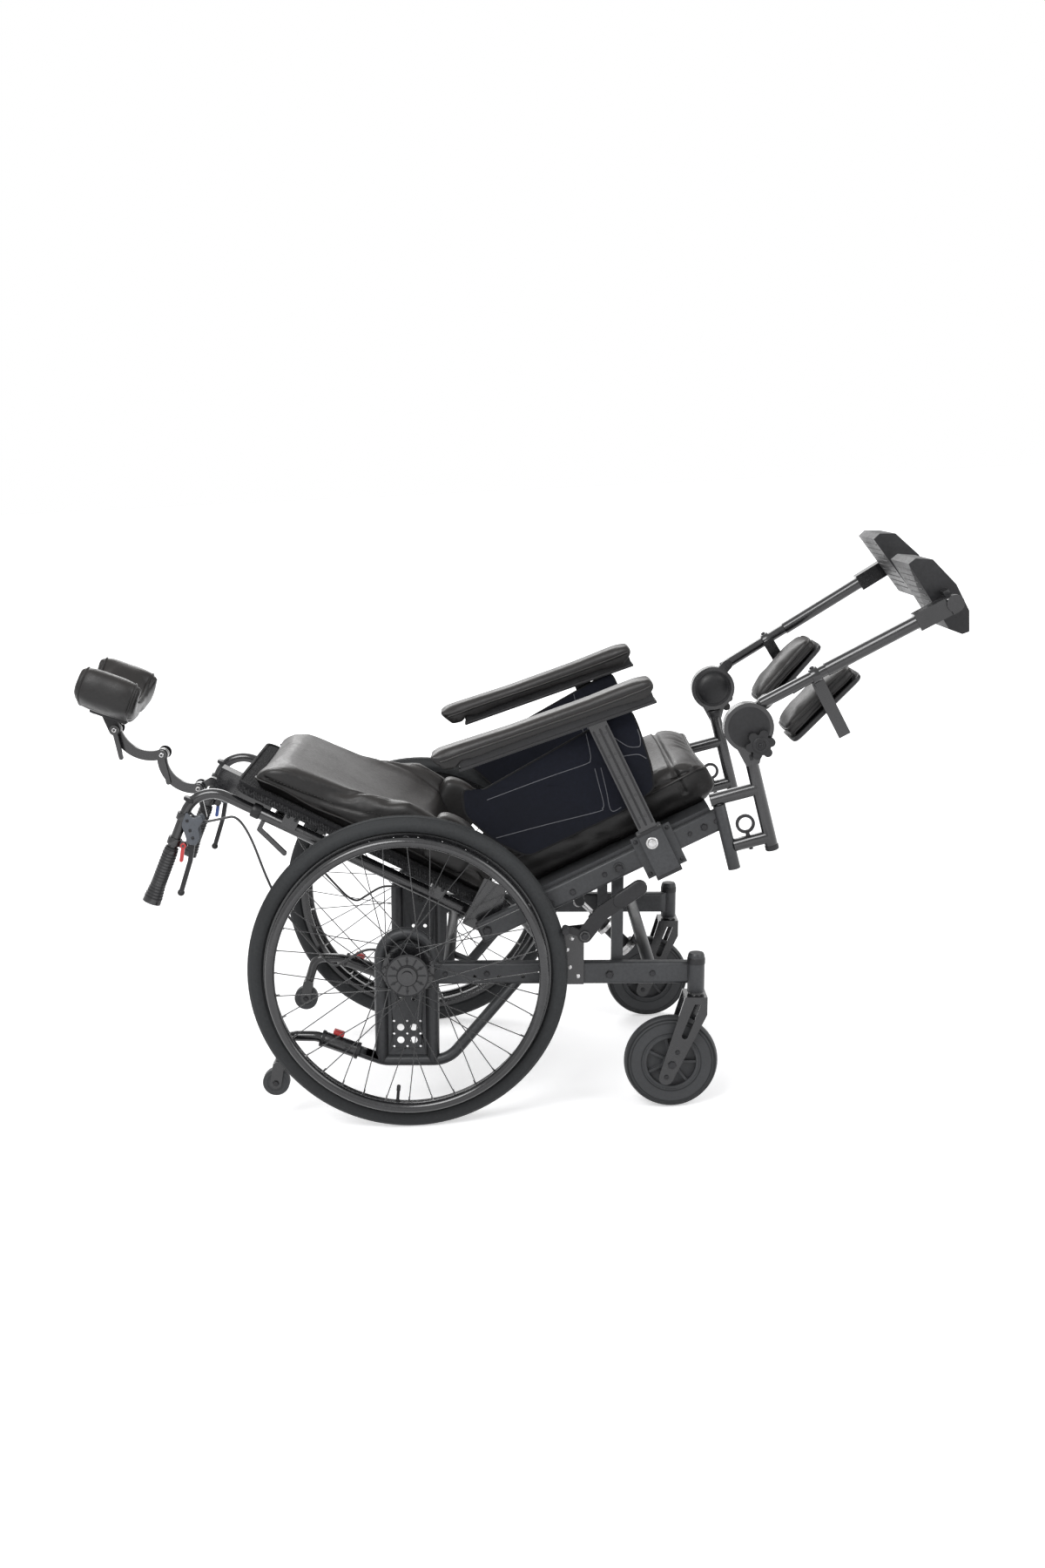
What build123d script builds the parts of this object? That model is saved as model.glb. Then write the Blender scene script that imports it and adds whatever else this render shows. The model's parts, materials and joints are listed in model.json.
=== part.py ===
from build123d import *
from math import asin, atan2, cos, degrees, hypot, radians, sin, tan
import os

# Tilt in space wheelchair, in millimetres. X forward, Y to the sitter's left, Z up.
# Every piece is drawn in side view, at its distance from the chair's middle plane; the
# right-hand pieces have negative Y and the left-hand ones are their mirror images.
# The chair is drawn with level rails and then set down on its four wheels.

# ---------------------------------------------------------------- fits and common stock
running_fit = 0.05            # radial play of pins and sliding tubes
side_play = 0.5               # play between plates that turn against each other
seat_gap = 0.3                # play where a piece rests against another body
eye_play = 0.45               # play of the gas springs' slotted eyes on their pins
pivot_pin = 6.0               # radius of the tilt and recline pins
small_pin = 4.0               # radius of the lever and spring pins
cross_tube = 11.0             # radius of the cross tubes
brace_tube = 7.0              # radius of the diagonal braces

# ---------------------------------------------------------------- widths across the chair
frame_spread = 280.0          # side frames from the middle plane
wheel_outset = 54.0           # wheel plane outboard of the side frame
leg_outset = 13.0             # caster stems and legrests outboard of the side frame
upright_outset = 24.8         # armrest uprights outboard of the side frame
arm_pad_inset = 3.8           # armrest pad inboard of its upright
panel_inset = 18.8            # side panel's inner face inboard of the upright
lever_outset = 40.0           # parking brake lever's inner face outboard of the side frame
hinge_plate_inset = 30.0      # the rest stand inboard of the side frame
back_tube_inset = 65.0
pan_inset = 4.0
cushion_inset = 36.0          # seat cushion's side inboard of the pan's
shell_inset = 43.0
back_cushion_inset = 2.0      # back cushion's side inboard of its shell's
wheel_spread = frame_spread + wheel_outset
stem_spread = frame_spread + leg_outset
leg_spread = frame_spread + leg_outset
upright_spread = frame_spread + upright_outset
arm_pad_spread = upright_spread - arm_pad_inset
panel_inner = upright_spread - panel_inset
brake_lever_offset = frame_spread + lever_outset
hinge_plate_spread = frame_spread - hinge_plate_inset
back_tube_spread = frame_spread - back_tube_inset
pan_half = frame_spread - pan_inset
cushion_half = pan_half - cushion_inset
shell_half = frame_spread - shell_inset
back_cushion_half = shell_half - back_cushion_inset

# ---------------------------------------------------------------- drive wheels
wheel_radius = 305.0
tyre_width = 36.0
tyre_depth = 32.0
tread_width = 20.0
rim_width = 24.0
rim_depth = 16.0
rim_well = 14.0
spoke_radius = 1.0
spokes_per_flange = 18
spoke_lace = 50.0             # degrees between a spoke's ends
flange_thickness = 3.0
drum_radius = 45.0
flange_radius = 50.0
outer_flange_radius = 36.0
outer_flange_offset = 14.0    # outboard of the wheel plane
inner_flange_offset = 13.5    # inboard of the wheel plane
spoke_inset = 2.5             # spoke heads inside a flange's edge
hub_barrel = 18.0
axle_pin = 6.35
axle_length = 112.0
hub_cover_radius = 39.0
hub_cover_thickness = 3.0
hub_boss_radius = 18.0
hub_boss_length = 6.0
hub_cap_radius = 10.5
hub_cap_length = 5.0
handrim_step = 45.5           # middle of the handrim's tube inside the tread
handrim_radius = wheel_radius - handrim_step
handrim_tube = 9.5
handrim_offset = 30.0         # outboard of the wheel plane
handrim_mounts = 6
mount_tab_radius = 4.0
mount_tab_circle = handrim_radius + 2.5

# ---------------------------------------------------------------- base frame
frame_tube = 12.5
arch_x = -5.0
arch_half = 50.0              # half the width between the legs of the arch
arch_spring_z = 317.5
lower_tube_z = 113.0
lower_tube = 11.0
lower_rear_bend = -50.0
lower_rear_x = -117.0
lower_rear_z = 138.0
lower_front_bend = 74.0
lower_front_slope = 50.0
lower_bend_radius = 60.0
rail_width = 25.0
rail_height = 43.0
rail_z = 290.0
rail_corner = 6.0
rail_nose = 18.0
rail_hole = 3.5
rail_hole_x = 127.0
rail_hole_step = 23.3
rail_hole_places = (0, 2, 4)
rail_hole_z = 284.0
stem_x = 554.0
stem_radius = 16.5
stem_bottom = 254.0
stem_height = 68.0
stem_bore_depth = 55.0
post_x = 403.0
post_length = 22.0
post_width = 25.0
post_foot = 268.5
post_top_radius = 12.0
pin_head = 10.0
pin_head_length = 4.0
rear_cross_x = 75.0
front_cross_x = 466.0
front_cross_z = 298.0
brace_z = 286.0
brace_rear_y = 140.0
brace_mid_x = 160.0
brace_front_x = 300.0
brace_rise = 15.0

# ---------------------------------------------------------------- axle plates
plate_thickness = 4.0
plate_bottom = 118.0
plate_hole = 7.0
plate_hole_step = 25.5        # the four large holes lie on a circle
plate_hole_z = 166.5
small_hole = 4.0
small_hole_z = 236.0
pilot_hole = 2.2
receiver_radius = 17.0
receiver_length = 32.0
drum_plate_radius = 47.0
drum_plate_thickness = 4.0
cable_stop = (-28.0, 331.0)
cable_stop_size = (18.0, 12.0, 18.0)

# ---------------------------------------------------------------- parking brakes
brake_ahead = 32.0            # lever pivot ahead of the tyre's front
brake_above = 70.0            # and above the axle
brake_pivot = (wheel_radius + brake_ahead, wheel_radius + brake_above)
bracket_width = 40.0
bracket_x = (brake_pivot[0] - bracket_width, brake_pivot[0])
bracket_bottom = 270.0
bracket_top = brake_pivot[1] - 3.0
bracket_thickness = 6.0
brake_lobe = 13.0
brake_elbow = (brake_pivot[0] + 34.0, brake_pivot[1] + 44.5)
brake_handle_length = 84.0
brake_handle_slope = 34.6
brake_handle_width = 28.0
brake_lever_thickness = 10.0
shoe_radius = 6.0
shoe_angle = 15.5             # degrees above the axle's level
shoe_length = 34.0

# ---------------------------------------------------------------- casters
caster_radius = 91.3
caster_x = 507.5
caster_z = 115.3
caster_width = 30.0
caster_rim_radius = 54.0
caster_rim_wall = 6.0
caster_web = 8.0
caster_ribs = 7
caster_rib_width = 5.0
caster_hub_radius = 13.0
caster_hub_width = 40.0
caster_pin = 5.0
fork_half = 28.0              # fork plates from the wheel plane
fork_thickness = 5.0
fork_end_radius = 14.0
fork_reach = 29.0             # from the axle to the centre of the lower end
fork_slope = 67.2
fork_top = 250.0
fork_crown_thickness = 14.0
fork_back_x = 531.0
fork_front_x = 574.0
fork_knee_z = 215.0
fork_hole = 3.2
fork_hole_step = 27.0
fork_slot_width = 12.0
fork_slot_ends = ((531.5, 173.0), (556.0, 236.0))
stem_pin = 10.0

# ---------------------------------------------------------------- anti-tippers
socket_radius = 15.0
socket_overlap = 18.0
socket_reach = 60.0
socket_button = 6.0
tip_arm = 10.0
tip_arm_knee = 68.0
tip_arm_elbow = (-238.0, 163.0)
tip_arm_end = (-255.0, 108.0)
tip_arm_bends = (34.0, 24.0)
tip_wheel = (-261.0, 71.0)
tip_wheel_radius = 26.0
tip_wheel_width = 20.0
tip_ear_radius = 11.0
tip_ear_thickness = 4.0
tip_block = 10.0

# ---------------------------------------------------------------- tilting seat
tilt_z = 498.5
seat_tilt = 26.0
seat_rail_width = 24.0
seat_rail_height = 40.0
seat_rail_corner = 5.0
seat_rail_rear = -292.0
back_setback = 280.0          # recline pivot behind the tilt pivot
seat_cross_rear = -96.0
seat_cross_front = 180.0
pan_rear = -182.0
pan_front = 205.0
pan_thickness = 8.0
seat_cushion_rear = -215.0
seat_cushion_front = 248.0
seat_cushion_side = 85.0      # height of the sides above the pan
cushion_draw = 5.0            # how far the sides are drawn in between the corners
upright_u = 83.0
upright_width = 36.0
upright_depth = 19.6
upright_bottom = -47.0
upright_top = 277.0
arm_socket_bottom = -50.0
arm_socket_top = 48.0
arm_socket_width = 48.0
arm_socket_wall = 2.4
arm_flange_width = 81.0
arm_flange_thickness = 6.0
arm_button = (78.0, 21.0)
arm_button_radius = 8.0
arm_button_length = 3.5

# ---------------------------------------------------------------- armrests
arm_slope = -6.5              # of the pad against the seat
arm_pad_width = 80.0
arm_pad_rear = -320.0
arm_pad_front = 127.0
arm_pad_top = 48.8
arm_pad_sag = 6.0
arm_pad_rear_bottom = 5.0
arm_pad_nose = 12.0
arm_pad_round = 9.0
arm_rail_rear = -268.0
arm_rail_front = 116.0
arm_rail_height = 18.0
arm_rail_width = 44.0
panel_thickness = 4.0
panel_outline = ((-200.0, 269.0), (-219.0, 222.0), (-190.0, 150.0), (-147.0, 96.0), (50.0, 96.0),
                 (106.0, 104.0), (126.0, 109.0), (139.0, 148.0), (150.0, 234.0))

# ---------------------------------------------------------------- reclining back
back_angle = 127.8            # between seat and back
back_tube = 12.5
back_tube_length = 505.0
back_cross_at = 455.0
hinge_plate_thickness = 5.0
hinge_plate_reach = 46.0
hinge_plate_rise = 82.0
hinge_plate_drop = 18.0
shell_bottom = 24.0
shell_thickness = 18.0
shell_start = 36.0
shell_end = 553.0
shell_round = 30.0
saddle_places = (115.0, 430.0)
saddle_length = 30.0
saddle_width = 30.0
latch_pivot = (478.0, -30.0)
latch_tip = (414.0, -52.0)
latch_width = 9.0
head_block = (562.0, 606.0)
head_block_half = 20.0
head_post_m = -32.0
head_post_half = 7.0
head_bar_width = 40.0
head_bar_thickness = 10.0

# ---------------------------------------------------------------- push handles
handle_tube = 10.0
handle_insert = 125.0
handle_corner = 625.3
handle_turn = 94.3
handle_bend = 58.0
grip_start = 142.0
grip_flare = 222.0
grip_end = 255.0
grip_radius = 14.0
grip_end_radius = 18.5
handle_tube_stop = 248.0
clamp_at = 72.0
bridge_length = 13.4
exit_inset = 2.0              # cable's exit inside the bridge's end
clamp_length = 14.0
clamp_wall = 4.0
lever_pivot = (102.0, 32.0)
lever_bend = (150.0, 42.0)
lever_tip = (216.0, 47.0)
lever_width = 9.0
lever_thickness = 9.0
lever_ball = 7.0
lever_housing = 8.0
trigger_clamp_at = 124.0
trigger_pivot = (124.0, 20.0)
trigger_tip = (152.0, 26.5)
trigger_width = 7.0
trigger_offset = 7.0          # inner face of the trigger outboard of the handle's plane
trigger_thickness = 7.0

# ---------------------------------------------------------------- headrest
head_low = (631.0, -56.0)
head_mid = (726.4, -24.9)
head_high = (833.5, -20.3)
head_slide_start = 480.0
head_bend_at = 614.0
head_link_width = 20.0
head_link_sag = 24.0
head_eye = 12.0
head_pin = 5.0
link_thickness = 10.0
clamp_lever_length = 58.0
clamp_lever_width = 9.0
clamp_lever_thickness = 6.0
clamp_lever_hang = -78.0      # degrees
head_pad_pitch = -20.0
head_pad_lift = 26.0          # underside of the pad above the upper pivot
head_pad_ahead = 40.0
head_pad_length = 132.0
head_pad_half = 112.0
head_pad_depth = 98.0
head_pad_core = 45.0
head_wing_width = 44.0

# ---------------------------------------------------------------- legrests
swing_u = 223.5
swing_n = 26.3
swing_rake = -11.55
leg_receiver = 12.0
leg_receiver_length = 127.0
swing_pin = 8.0
swing_pin_length = 58.0
leg_tube = 12.5
leg_tube_a = 79.0             # leg tube ahead of the swing axis
leg_tube_bottom = -108.0
top_stub_b = 13.0
top_stub_rear = -14.0
bottom_stub_b = -83.0
knee_a = 88.0
knee_b = 132.5
knee_radius = 47.0
knee_inner = leg_spread - 15.0   # inner face of the arm's disc
knee_disc = 14.5
neck_width = 40.0
knob_a = 99.8
knob_b = 97.9
knob_radius = 28.5
knob_hub = 12.0
knob_lobes = 6
knob_lobe = 8.5
knob_thickness = 16.0
knob_screw_length = 12.0
ring_a = 40.0
ring_b = -47.6
ring_outer = 18.5
ring_inner = 12.5
ring_thickness = 5.0
leg_rise = 28.0               # degrees of the elevating arm above level
arm_tube_up = 28.0            # arm tube above the knee's centre
arm_rod = 11.0
arm_rod_end = 330.0
foot_sleeve = 13.0
foot_sleeve_start = 178.0
foot_sleeve_end = 366.0
calf_clamp_at = 155.0
calf_clamp_length = 16.0
calf_bar_bottom = -104.0
calf_bar_width = 24.0
calf_bar_thickness = 6.0
calf_bar_offset = leg_spread - 17.0
calf_pivot_up = -62.0
calf_boss = 12.0
calf_pad_turn = 17.5
calf_pad_length = 178.0
calf_pad_width = 124.0
calf_pad_outer = leg_spread - 31.0
calf_pad_thickness = 42.0
calf_pad_crown = 6.0
calf_shell = 8.0
foot_block_end = 430.0
foot_block_half = 17.0
foot_block_width = 32.0
foot_hub_at = 443.4
foot_hub = 16.5
foot_hub_length = 40.0
flip_rear = 20.0
flip_lug = 12.0
flip_reach = 27.0             # flip pin inboard of the hinge barrel
footplate_width = 161.0
footplate_wall = 6.0
sole_thickness = 12.0
sole_outline = ((-33.5, 95.7), (-17.0, 99.0), (11.0, 81.5), (30.0, 19.0), (30.0, -38.0), (13.0, -74.0),
                (-1.0, -72.0), (-19.0, -52.0))
rest_lift = {"right": 0.0, "left": 4.0}       # the left legrest is raised a little further
rest_reach = {"right": 0.0, "left": 22.0}     # and its foot tube is drawn out

# ---------------------------------------------------------------- gas springs
tilt_spring_y = -30.0
tilt_spring_base = (447.0, 265.0)
tilt_spring_seat = (-113.0, -88.0)
recline_spring_y = 30.0
recline_spring_seat = (-80.0, -50.0)
recline_spring_back = (-57.3, -19.1)
spring_radius = 13.0
spring_rod = 5.0
spring_eye = 9.0
spring_neck = 16.0            # the cylinder begins clear of the lugs' round ends
eye_half = 6.0
lug_thickness = 5.0
lug_width = 20.0
tilt_cylinder_length = 112.0
tilt_rod_length = 128.0
recline_cylinder_length = 128.0
recline_rod_length = 152.0
tilt_eye_slot = 4.2           # sideways travel of the pin in the rod's eye
recline_eye_slot = 3.4

# ---------------------------------------------------------------- brake cables
cable_radius = 2.5
cable_corners = ((-262.0, 425.0, 240.0), (-150.0, 292.0, 261.0), (-88.0, 331.0, 264.0))
cable_first_run = 95.0
cable_bends = (80.0, 300.0, 55.0, 70.0)


# ================================================================ drawing helpers
def point(frame, along, up):
    """X and Z of a place in a side frame, which is an origin's x and z and a pitch in degrees."""
    x, z, pitch = frame
    c, s = cos(radians(pitch)), sin(radians(pitch))
    return (x + along * c - up * s, z + along * s + up * c)


def child(frame, along, up, turn):
    """A side frame placed and turned in another one."""
    return (*point(frame, along, up), frame[2] + turn)


def spot(frame, along, up, y):
    x, z = point(frame, along, up)
    return (x, y, z)


def side(frame, y):
    """Sketch plane in side view, facing the right-hand side, with its origin in the side frame's."""
    pitch = radians(frame[2])
    return Plane(origin=(frame[0], y, frame[1]), x_dir=(cos(pitch), 0, sin(pitch)), z_dir=(0, -1, 0))


def across(frame, along, up, y=0.0):
    """Sketch plane square to a side frame's length: X to the left-hand side, Y up."""
    pitch = radians(frame[2])
    return Plane(origin=spot(frame, along, up, y), x_dir=(0, 1, 0), z_dir=(cos(pitch), 0, sin(pitch)))


def plate(frame, sketch, inner, outer):
    """A side-view outline made solid between two distances to the right of the middle plane."""
    return extrude(side(frame, -inner) * sketch, amount=outer - inner)


def pin(frame, along, up, radius, inner, outer):
    return plate(frame, Pos(along, up) * Circle(radius), inner, outer)


def rod(start, end, radius, bore=0.0):
    """A straight round bar, or a tube with a bore, between two points."""
    run = Vector(*end) - Vector(*start)
    section = Circle(radius)
    if bore:
        section -= Circle(bore)
    return extrude(Plane(origin=start, z_dir=run) * section, amount=run.length)


def bent(points, radius, bends):
    """A round bar along straight runs joined by tangent arcs."""
    path = FilletPolyline(*points, radius=bends)
    return sweep(Plane(origin=path @ 0, z_dir=path % 0) * Circle(radius), path=path)


def link(points, width):
    """Outline of a flat bar with round ends along a few points."""
    outline = Sketch()
    for (x0, y0), (x1, y1) in zip(points, points[1:]):
        turn = degrees(atan2(y1 - y0, x1 - x0))
        run = hypot(x1 - x0, y1 - y0)
        outline += Pos((x0 + x1) / 2, (y0 + y1) / 2) * Rot(0, 0, turn) * SlotCenterToCenter(run, width)
    return outline


def outline(points):
    return make_face(Polyline(*points, close=True))


def box(frame, along, up, inner, outer):
    """A square block in a side frame, from and to each pair of places."""
    width, height = along[1] - along[0], up[1] - up[0]
    middle = Pos((along[0] + along[1]) / 2, (up[0] + up[1]) / 2)
    return plate(frame, middle * Rectangle(width, height), inner, outer)


def mirrored(pieces):
    return [mirror(piece, about=Plane.XZ) for piece in pieces]


def both_sides(pieces):
    return pieces + mirrored(pieces)


# ================================================================ side frames
CHAIR = (0.0, 0.0, 0.0)
AXLE = (0.0, wheel_radius, 0.0)
SEAT = (post_x, tilt_z, seat_tilt)
BACK = child(SEAT, -back_setback, 0.0, back_angle - 180.0)     # its head end is at negative X
GRIP = child(BACK, -handle_corner, 0.0, handle_turn - 180.0)   # runs down the grip
ARM = child(SEAT, upright_u, upright_top, arm_slope)
SWING = child(SEAT, swing_u, swing_n, swing_rake)              # its Y axis is the legrest's swing axis

housing_foot = (clamp_at, handle_tube + 2.0)
housing_slope = degrees(atan2(lever_pivot[1] - housing_foot[1], lever_pivot[0] - housing_foot[0]))
bridge_end = point((*housing_foot, housing_slope), bridge_length, 0)
cable_exit = point((*housing_foot, housing_slope), bridge_length - exit_inset, 0)
frame_outer = frame_spread + frame_tube
rail_outer = frame_spread + rail_width / 2
rail_inner = frame_spread - rail_width / 2
seat_rail_inner = frame_spread - seat_rail_width / 2 + side_play
seat_rail_outer = seat_rail_inner + seat_rail_width
spring_half = eye_half + side_play
slope = atan2(lower_rear_z - lower_tube_z, lower_rear_bend - lower_rear_x)
TIPPER = (lower_rear_x, lower_rear_z, -degrees(slope))         # runs forward down the lower tube


# ================================================================ base frame
def arch_tube():
    rear, front = arch_x - arch_half, arch_x + arch_half
    y = -frame_spread
    rise = Line((rear, y, lower_tube_z), (rear, y, arch_spring_z))
    bow = ThreePointArc(rise @ 1, (arch_x, y, arch_spring_z + arch_half), (front, y, arch_spring_z))
    fall = Line(bow @ 1, (front, y, lower_tube_z))
    return sweep(Plane(origin=rise @ 0, z_dir=rise % 0) * Circle(frame_tube), path=rise + bow + fall)


def lower_tube_run():
    y = -frame_spread
    rise = rail_z - lower_tube_z
    front_x = lower_front_bend + rise / tan(radians(lower_front_slope))
    points = [(lower_rear_x, y, lower_rear_z), (lower_rear_bend, y, lower_tube_z),
              (lower_front_bend, y, lower_tube_z), (front_x, y, rail_z)]
    return bent(points, lower_tube, [lower_bend_radius, lower_bend_radius])


def rail_blank():
    start = arch_x + arch_half
    end = stem_x - 4.0
    section = Plane(origin=(start, -frame_spread, rail_z), x_dir=(0, 1, 0), z_dir=(1, 0, 0))
    rail = extrude(section * RectangleRounded(rail_width, rail_height, rail_corner), amount=end - start)
    plan = Pos((start + end) / 2, -frame_spread) * Rectangle(end - start, rail_width)
    nose = plan.vertices().sort_by(lambda corner: corner.X + corner.Y)[-1]
    plan = fillet(nose, rail_nose)
    return rail & extrude(Pos(0, 0, rail_z - rail_height) * plan, amount=2 * rail_height)


def stem_blank(radius):
    """The caster stem's round outside, domed at the top."""
    top = stem_bottom + stem_height
    tube = rod((stem_x, -stem_spread, stem_bottom), (stem_x, -stem_spread, top), radius)
    dome = Pos(stem_x, -stem_spread, top) * Sphere(radius)
    return tube + (dome & Pos(stem_x, -stem_spread, top) * Box(4 * radius, 4 * radius, 1.1 * radius))


def tilt_post():
    shape = Pos(post_x, (post_foot + tilt_z) / 2) * Rectangle(post_length, tilt_z - post_foot)
    shape += Pos(post_x, tilt_z) * Circle(post_top_radius)
    post = plate(CHAIR, shape, rail_inner - post_width, rail_inner)
    post += pin(CHAIR, post_x, tilt_z, pivot_pin, rail_inner, seat_rail_outer + side_play)
    head = seat_rail_outer + side_play
    return post + pin(CHAIR, post_x, tilt_z, pin_head, head, head + pin_head_length)


def side_frame():
    rail = rail_blank()
    lower = lower_tube_run() - rail_blank()
    arch = arch_tube() - lower
    stem = stem_blank(stem_radius)
    rail = rail - arch_tube() - stem
    for place in rail_hole_places:
        x = rail_hole_x + place * rail_hole_step
        rail -= pin(CHAIR, x, rail_hole_z, rail_hole, rail_inner - 1.0, rail_outer + 1.0)
    foot = (stem_x, -stem_spread, stem_bottom)
    stem -= rod(foot, (stem_x, -stem_spread, stem_bottom + stem_bore_depth), stem_pin + running_fit)
    return [rail, lower, arch, stem, tilt_post()]


def cross_member(x, z, radius):
    return rod((x, -rail_inner, z), (x, rail_inner, z), radius)


def braces():
    """Two corner braces behind the crossing pair, one of which passes over the other."""
    rear = rod((rear_cross_x, -brace_rear_y, rail_z), (brace_mid_x, -rail_inner, rail_z), brace_tube)
    rear -= cross_member(rear_cross_x, rail_z, cross_tube)
    rear -= rail_blank()
    low, high = brace_z - brace_rise / 2, brace_z + brace_rise / 2
    start = brace_mid_x + 4 * brace_tube
    under = rod((start, -rail_inner, low), (brace_front_x, rail_inner, low), brace_tube)
    over = rod((start, rail_inner, high), (brace_front_x, -rail_inner, high), brace_tube)
    rails = rail_blank() + mirror(rail_blank(), about=Plane.XZ)
    return both_sides([rear]) + [under - rails, over - rails]


def spring_lugs(frame, start, end, y, half_gap, tube_radius):
    """A pair of lugs from a cross tube to a spring's pin, with the pin through them."""
    shape = link((start, end), lug_width) - Pos(*start) * Circle(tube_radius)
    near = plate(frame, shape, -y + half_gap, -y + half_gap + lug_thickness)
    far = plate(frame, shape, -y - half_gap - lug_thickness, -y - half_gap)
    reach = half_gap + lug_thickness
    return near + far + pin(frame, *end, small_pin, -y - reach, -y + reach)


def base_frame():
    front = (front_cross_x, front_cross_z)
    lugs = spring_lugs(CHAIR, front, tilt_spring_base, tilt_spring_y, spring_half, frame_tube)
    crosses = [cross_member(rear_cross_x, rail_z, cross_tube), cross_member(*front, frame_tube)]
    return both_sides(side_frame()) + crosses + braces() + [lugs]


# ================================================================ axle plates
def axle_plate():
    inside = arch_half - frame_tube
    top = Pos(arch_x, arch_spring_z) * Circle(inside)
    panel = Pos(arch_x, (plate_bottom + arch_spring_z) / 2)
    panel *= Rectangle(2 * inside, arch_spring_z - plate_bottom)
    shape = top + panel
    for row in (-0.5, 0.5):
        for column in (-0.5, 0.5):
            hole = Pos(arch_x + column * plate_hole_step, plate_hole_z + row * plate_hole_step)
            shape -= hole * Circle(plate_hole)
    for column in (-1.0, 0.0, 1.0):
        for row in (-1.0, 0.0, 1.0):
            spare = Pos(arch_x + column * plate_hole_step, plate_hole_z + row * plate_hole_step)
            shape -= spare * Circle(pilot_hole)
    for column in (-0.5, 0.5):
        shape -= Pos(arch_x + column * plate_hole_step, small_hole_z) * Circle(small_hole)
    shape -= Pos(0.0, wheel_radius) * Circle(receiver_radius)
    middle = frame_spread - plate_thickness / 2
    return plate(CHAIR, shape, middle, middle + plate_thickness) - lower_tube_run()


def axle_receiver():
    inner = frame_outer - receiver_length
    tube = Circle(receiver_radius) - Circle(axle_pin + running_fit)
    disc = Circle(drum_plate_radius) - Circle(receiver_radius)
    barrel = plate(AXLE, tube, inner, frame_outer + drum_plate_thickness)
    return [barrel, plate(AXLE, disc, frame_outer, frame_outer + drum_plate_thickness)]


def cable_anchor():
    length, height, depth = cable_stop_size
    face = frame_spread - plate_thickness / 2
    x, z = cable_stop
    return box(CHAIR, (x - length / 2, x + length / 2), (z - height / 2, z + height / 2), face - depth, face)


def axle_plates():
    barrel, disc = axle_receiver()
    anchor = cable_anchor() - barrel
    return both_sides([axle_plate(), barrel, disc, anchor])


# ================================================================ parking brakes
def brake_bracket():
    left, right = bracket_x
    shape = Pos((left + right) / 2, (bracket_bottom + bracket_top) / 2)
    shape *= Rectangle(right - left, bracket_top - bracket_bottom)
    shape += link(((left + brake_lobe, bracket_top), brake_pivot), 2 * brake_lobe)
    face = rail_outer + bracket_thickness
    bracket = plate(CHAIR, shape, rail_outer, face)
    bracket += pin(CHAIR, *brake_pivot, brake_lobe - 3.0, face, brake_lever_offset - side_play)
    outer = brake_lever_offset + brake_lever_thickness + side_play
    bracket += pin(CHAIR, *brake_pivot, caster_pin, face, outer)
    return bracket + pin(CHAIR, *brake_pivot, pin_head, outer, outer + pin_head_length)


def parking_brake_lever():
    reach = wheel_radius + shoe_radius + seat_gap
    rise = radians(shoe_angle)
    shoe = (reach * cos(rise), wheel_radius + reach * sin(rise))
    slope_up = radians(brake_handle_slope)
    end = (brake_elbow[0] + brake_handle_length * cos(slope_up),
           brake_elbow[1] + brake_handle_length * sin(slope_up))
    shape = link((brake_pivot, brake_elbow, end), brake_handle_width)
    shape += link((brake_pivot, shoe), 2 * shoe_radius)
    shape -= Pos(*brake_pivot) * Circle(caster_pin + running_fit)
    outer = brake_lever_offset + brake_lever_thickness
    return plate(CHAIR, shape, brake_lever_offset, outer) + pin(
        CHAIR, *shoe, shoe_radius, outer, brake_lever_offset + shoe_length)


# ================================================================ drive wheels
def ring_plane(y):
    """Sketch plane through the axle: X across the wheel, towards the chair, and Y outward from the axle."""
    return Plane(origin=(0, y, wheel_radius), x_dir=(0, 1, 0), z_dir=(1, 0, 0))


def spun(sketch, y):
    return revolve(ring_plane(y) * sketch, axis=Axis((0, y, wheel_radius), (0, 1, 0)))


def tyre():
    bead = wheel_radius - tyre_depth
    widest = bead + 0.45 * tyre_depth
    half, tread = tyre_width / 2, tread_width / 2
    seat = Line((-rim_width / 2, bead), (rim_width / 2, bead))
    near = ThreePointArc(seat @ 1, (half, widest), (tread, wheel_radius - 3.5))
    crown = ThreePointArc(near @ 1, (0, wheel_radius), (-tread, wheel_radius - 3.5))
    far = ThreePointArc(crown @ 1, (-half, widest), seat @ 0)
    return [spun(make_face(seat + near + crown + far), -wheel_spread)]


def hub():
    """Drum hub with its two spoke flanges, cover, cap and quick-release axle pin."""
    inner = wheel_spread - inner_flange_offset
    outer = wheel_spread + outer_flange_offset
    drum_face = frame_outer + drum_plate_thickness + side_play
    half = flange_thickness / 2
    body = pin(AXLE, 0, 0, drum_radius, drum_face, inner - half)
    body += pin(AXLE, 0, 0, flange_radius, inner - half, inner + half)
    body += pin(AXLE, 0, 0, hub_barrel, inner, outer)
    body += pin(AXLE, 0, 0, outer_flange_radius, outer - half, outer + half)
    cover = outer + half + 2 * spoke_inset
    body += pin(AXLE, 0, 0, hub_barrel, outer, cover)
    body += pin(AXLE, 0, 0, hub_cover_radius, cover, cover + hub_cover_thickness)
    boss = cover + hub_cover_thickness + hub_boss_length
    body += pin(AXLE, 0, 0, hub_boss_radius, cover, boss)
    body += pin(AXLE, 0, 0, hub_cap_radius, boss, boss + hub_cap_length)
    return body + pin(AXLE, 0, 0, axle_pin, cover - axle_length, cover)


def wheel_rim():
    outer = wheel_radius - tyre_depth
    inner = outer - rim_depth
    lip = outer - rim_depth / 2
    half, well = rim_width / 2, rim_well / 2
    return spun(outline([(-half, outer), (half, outer), (half, lip), (well, inner), (-well, inner),
                         (-half, lip)]),
                -wheel_spread)


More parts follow.
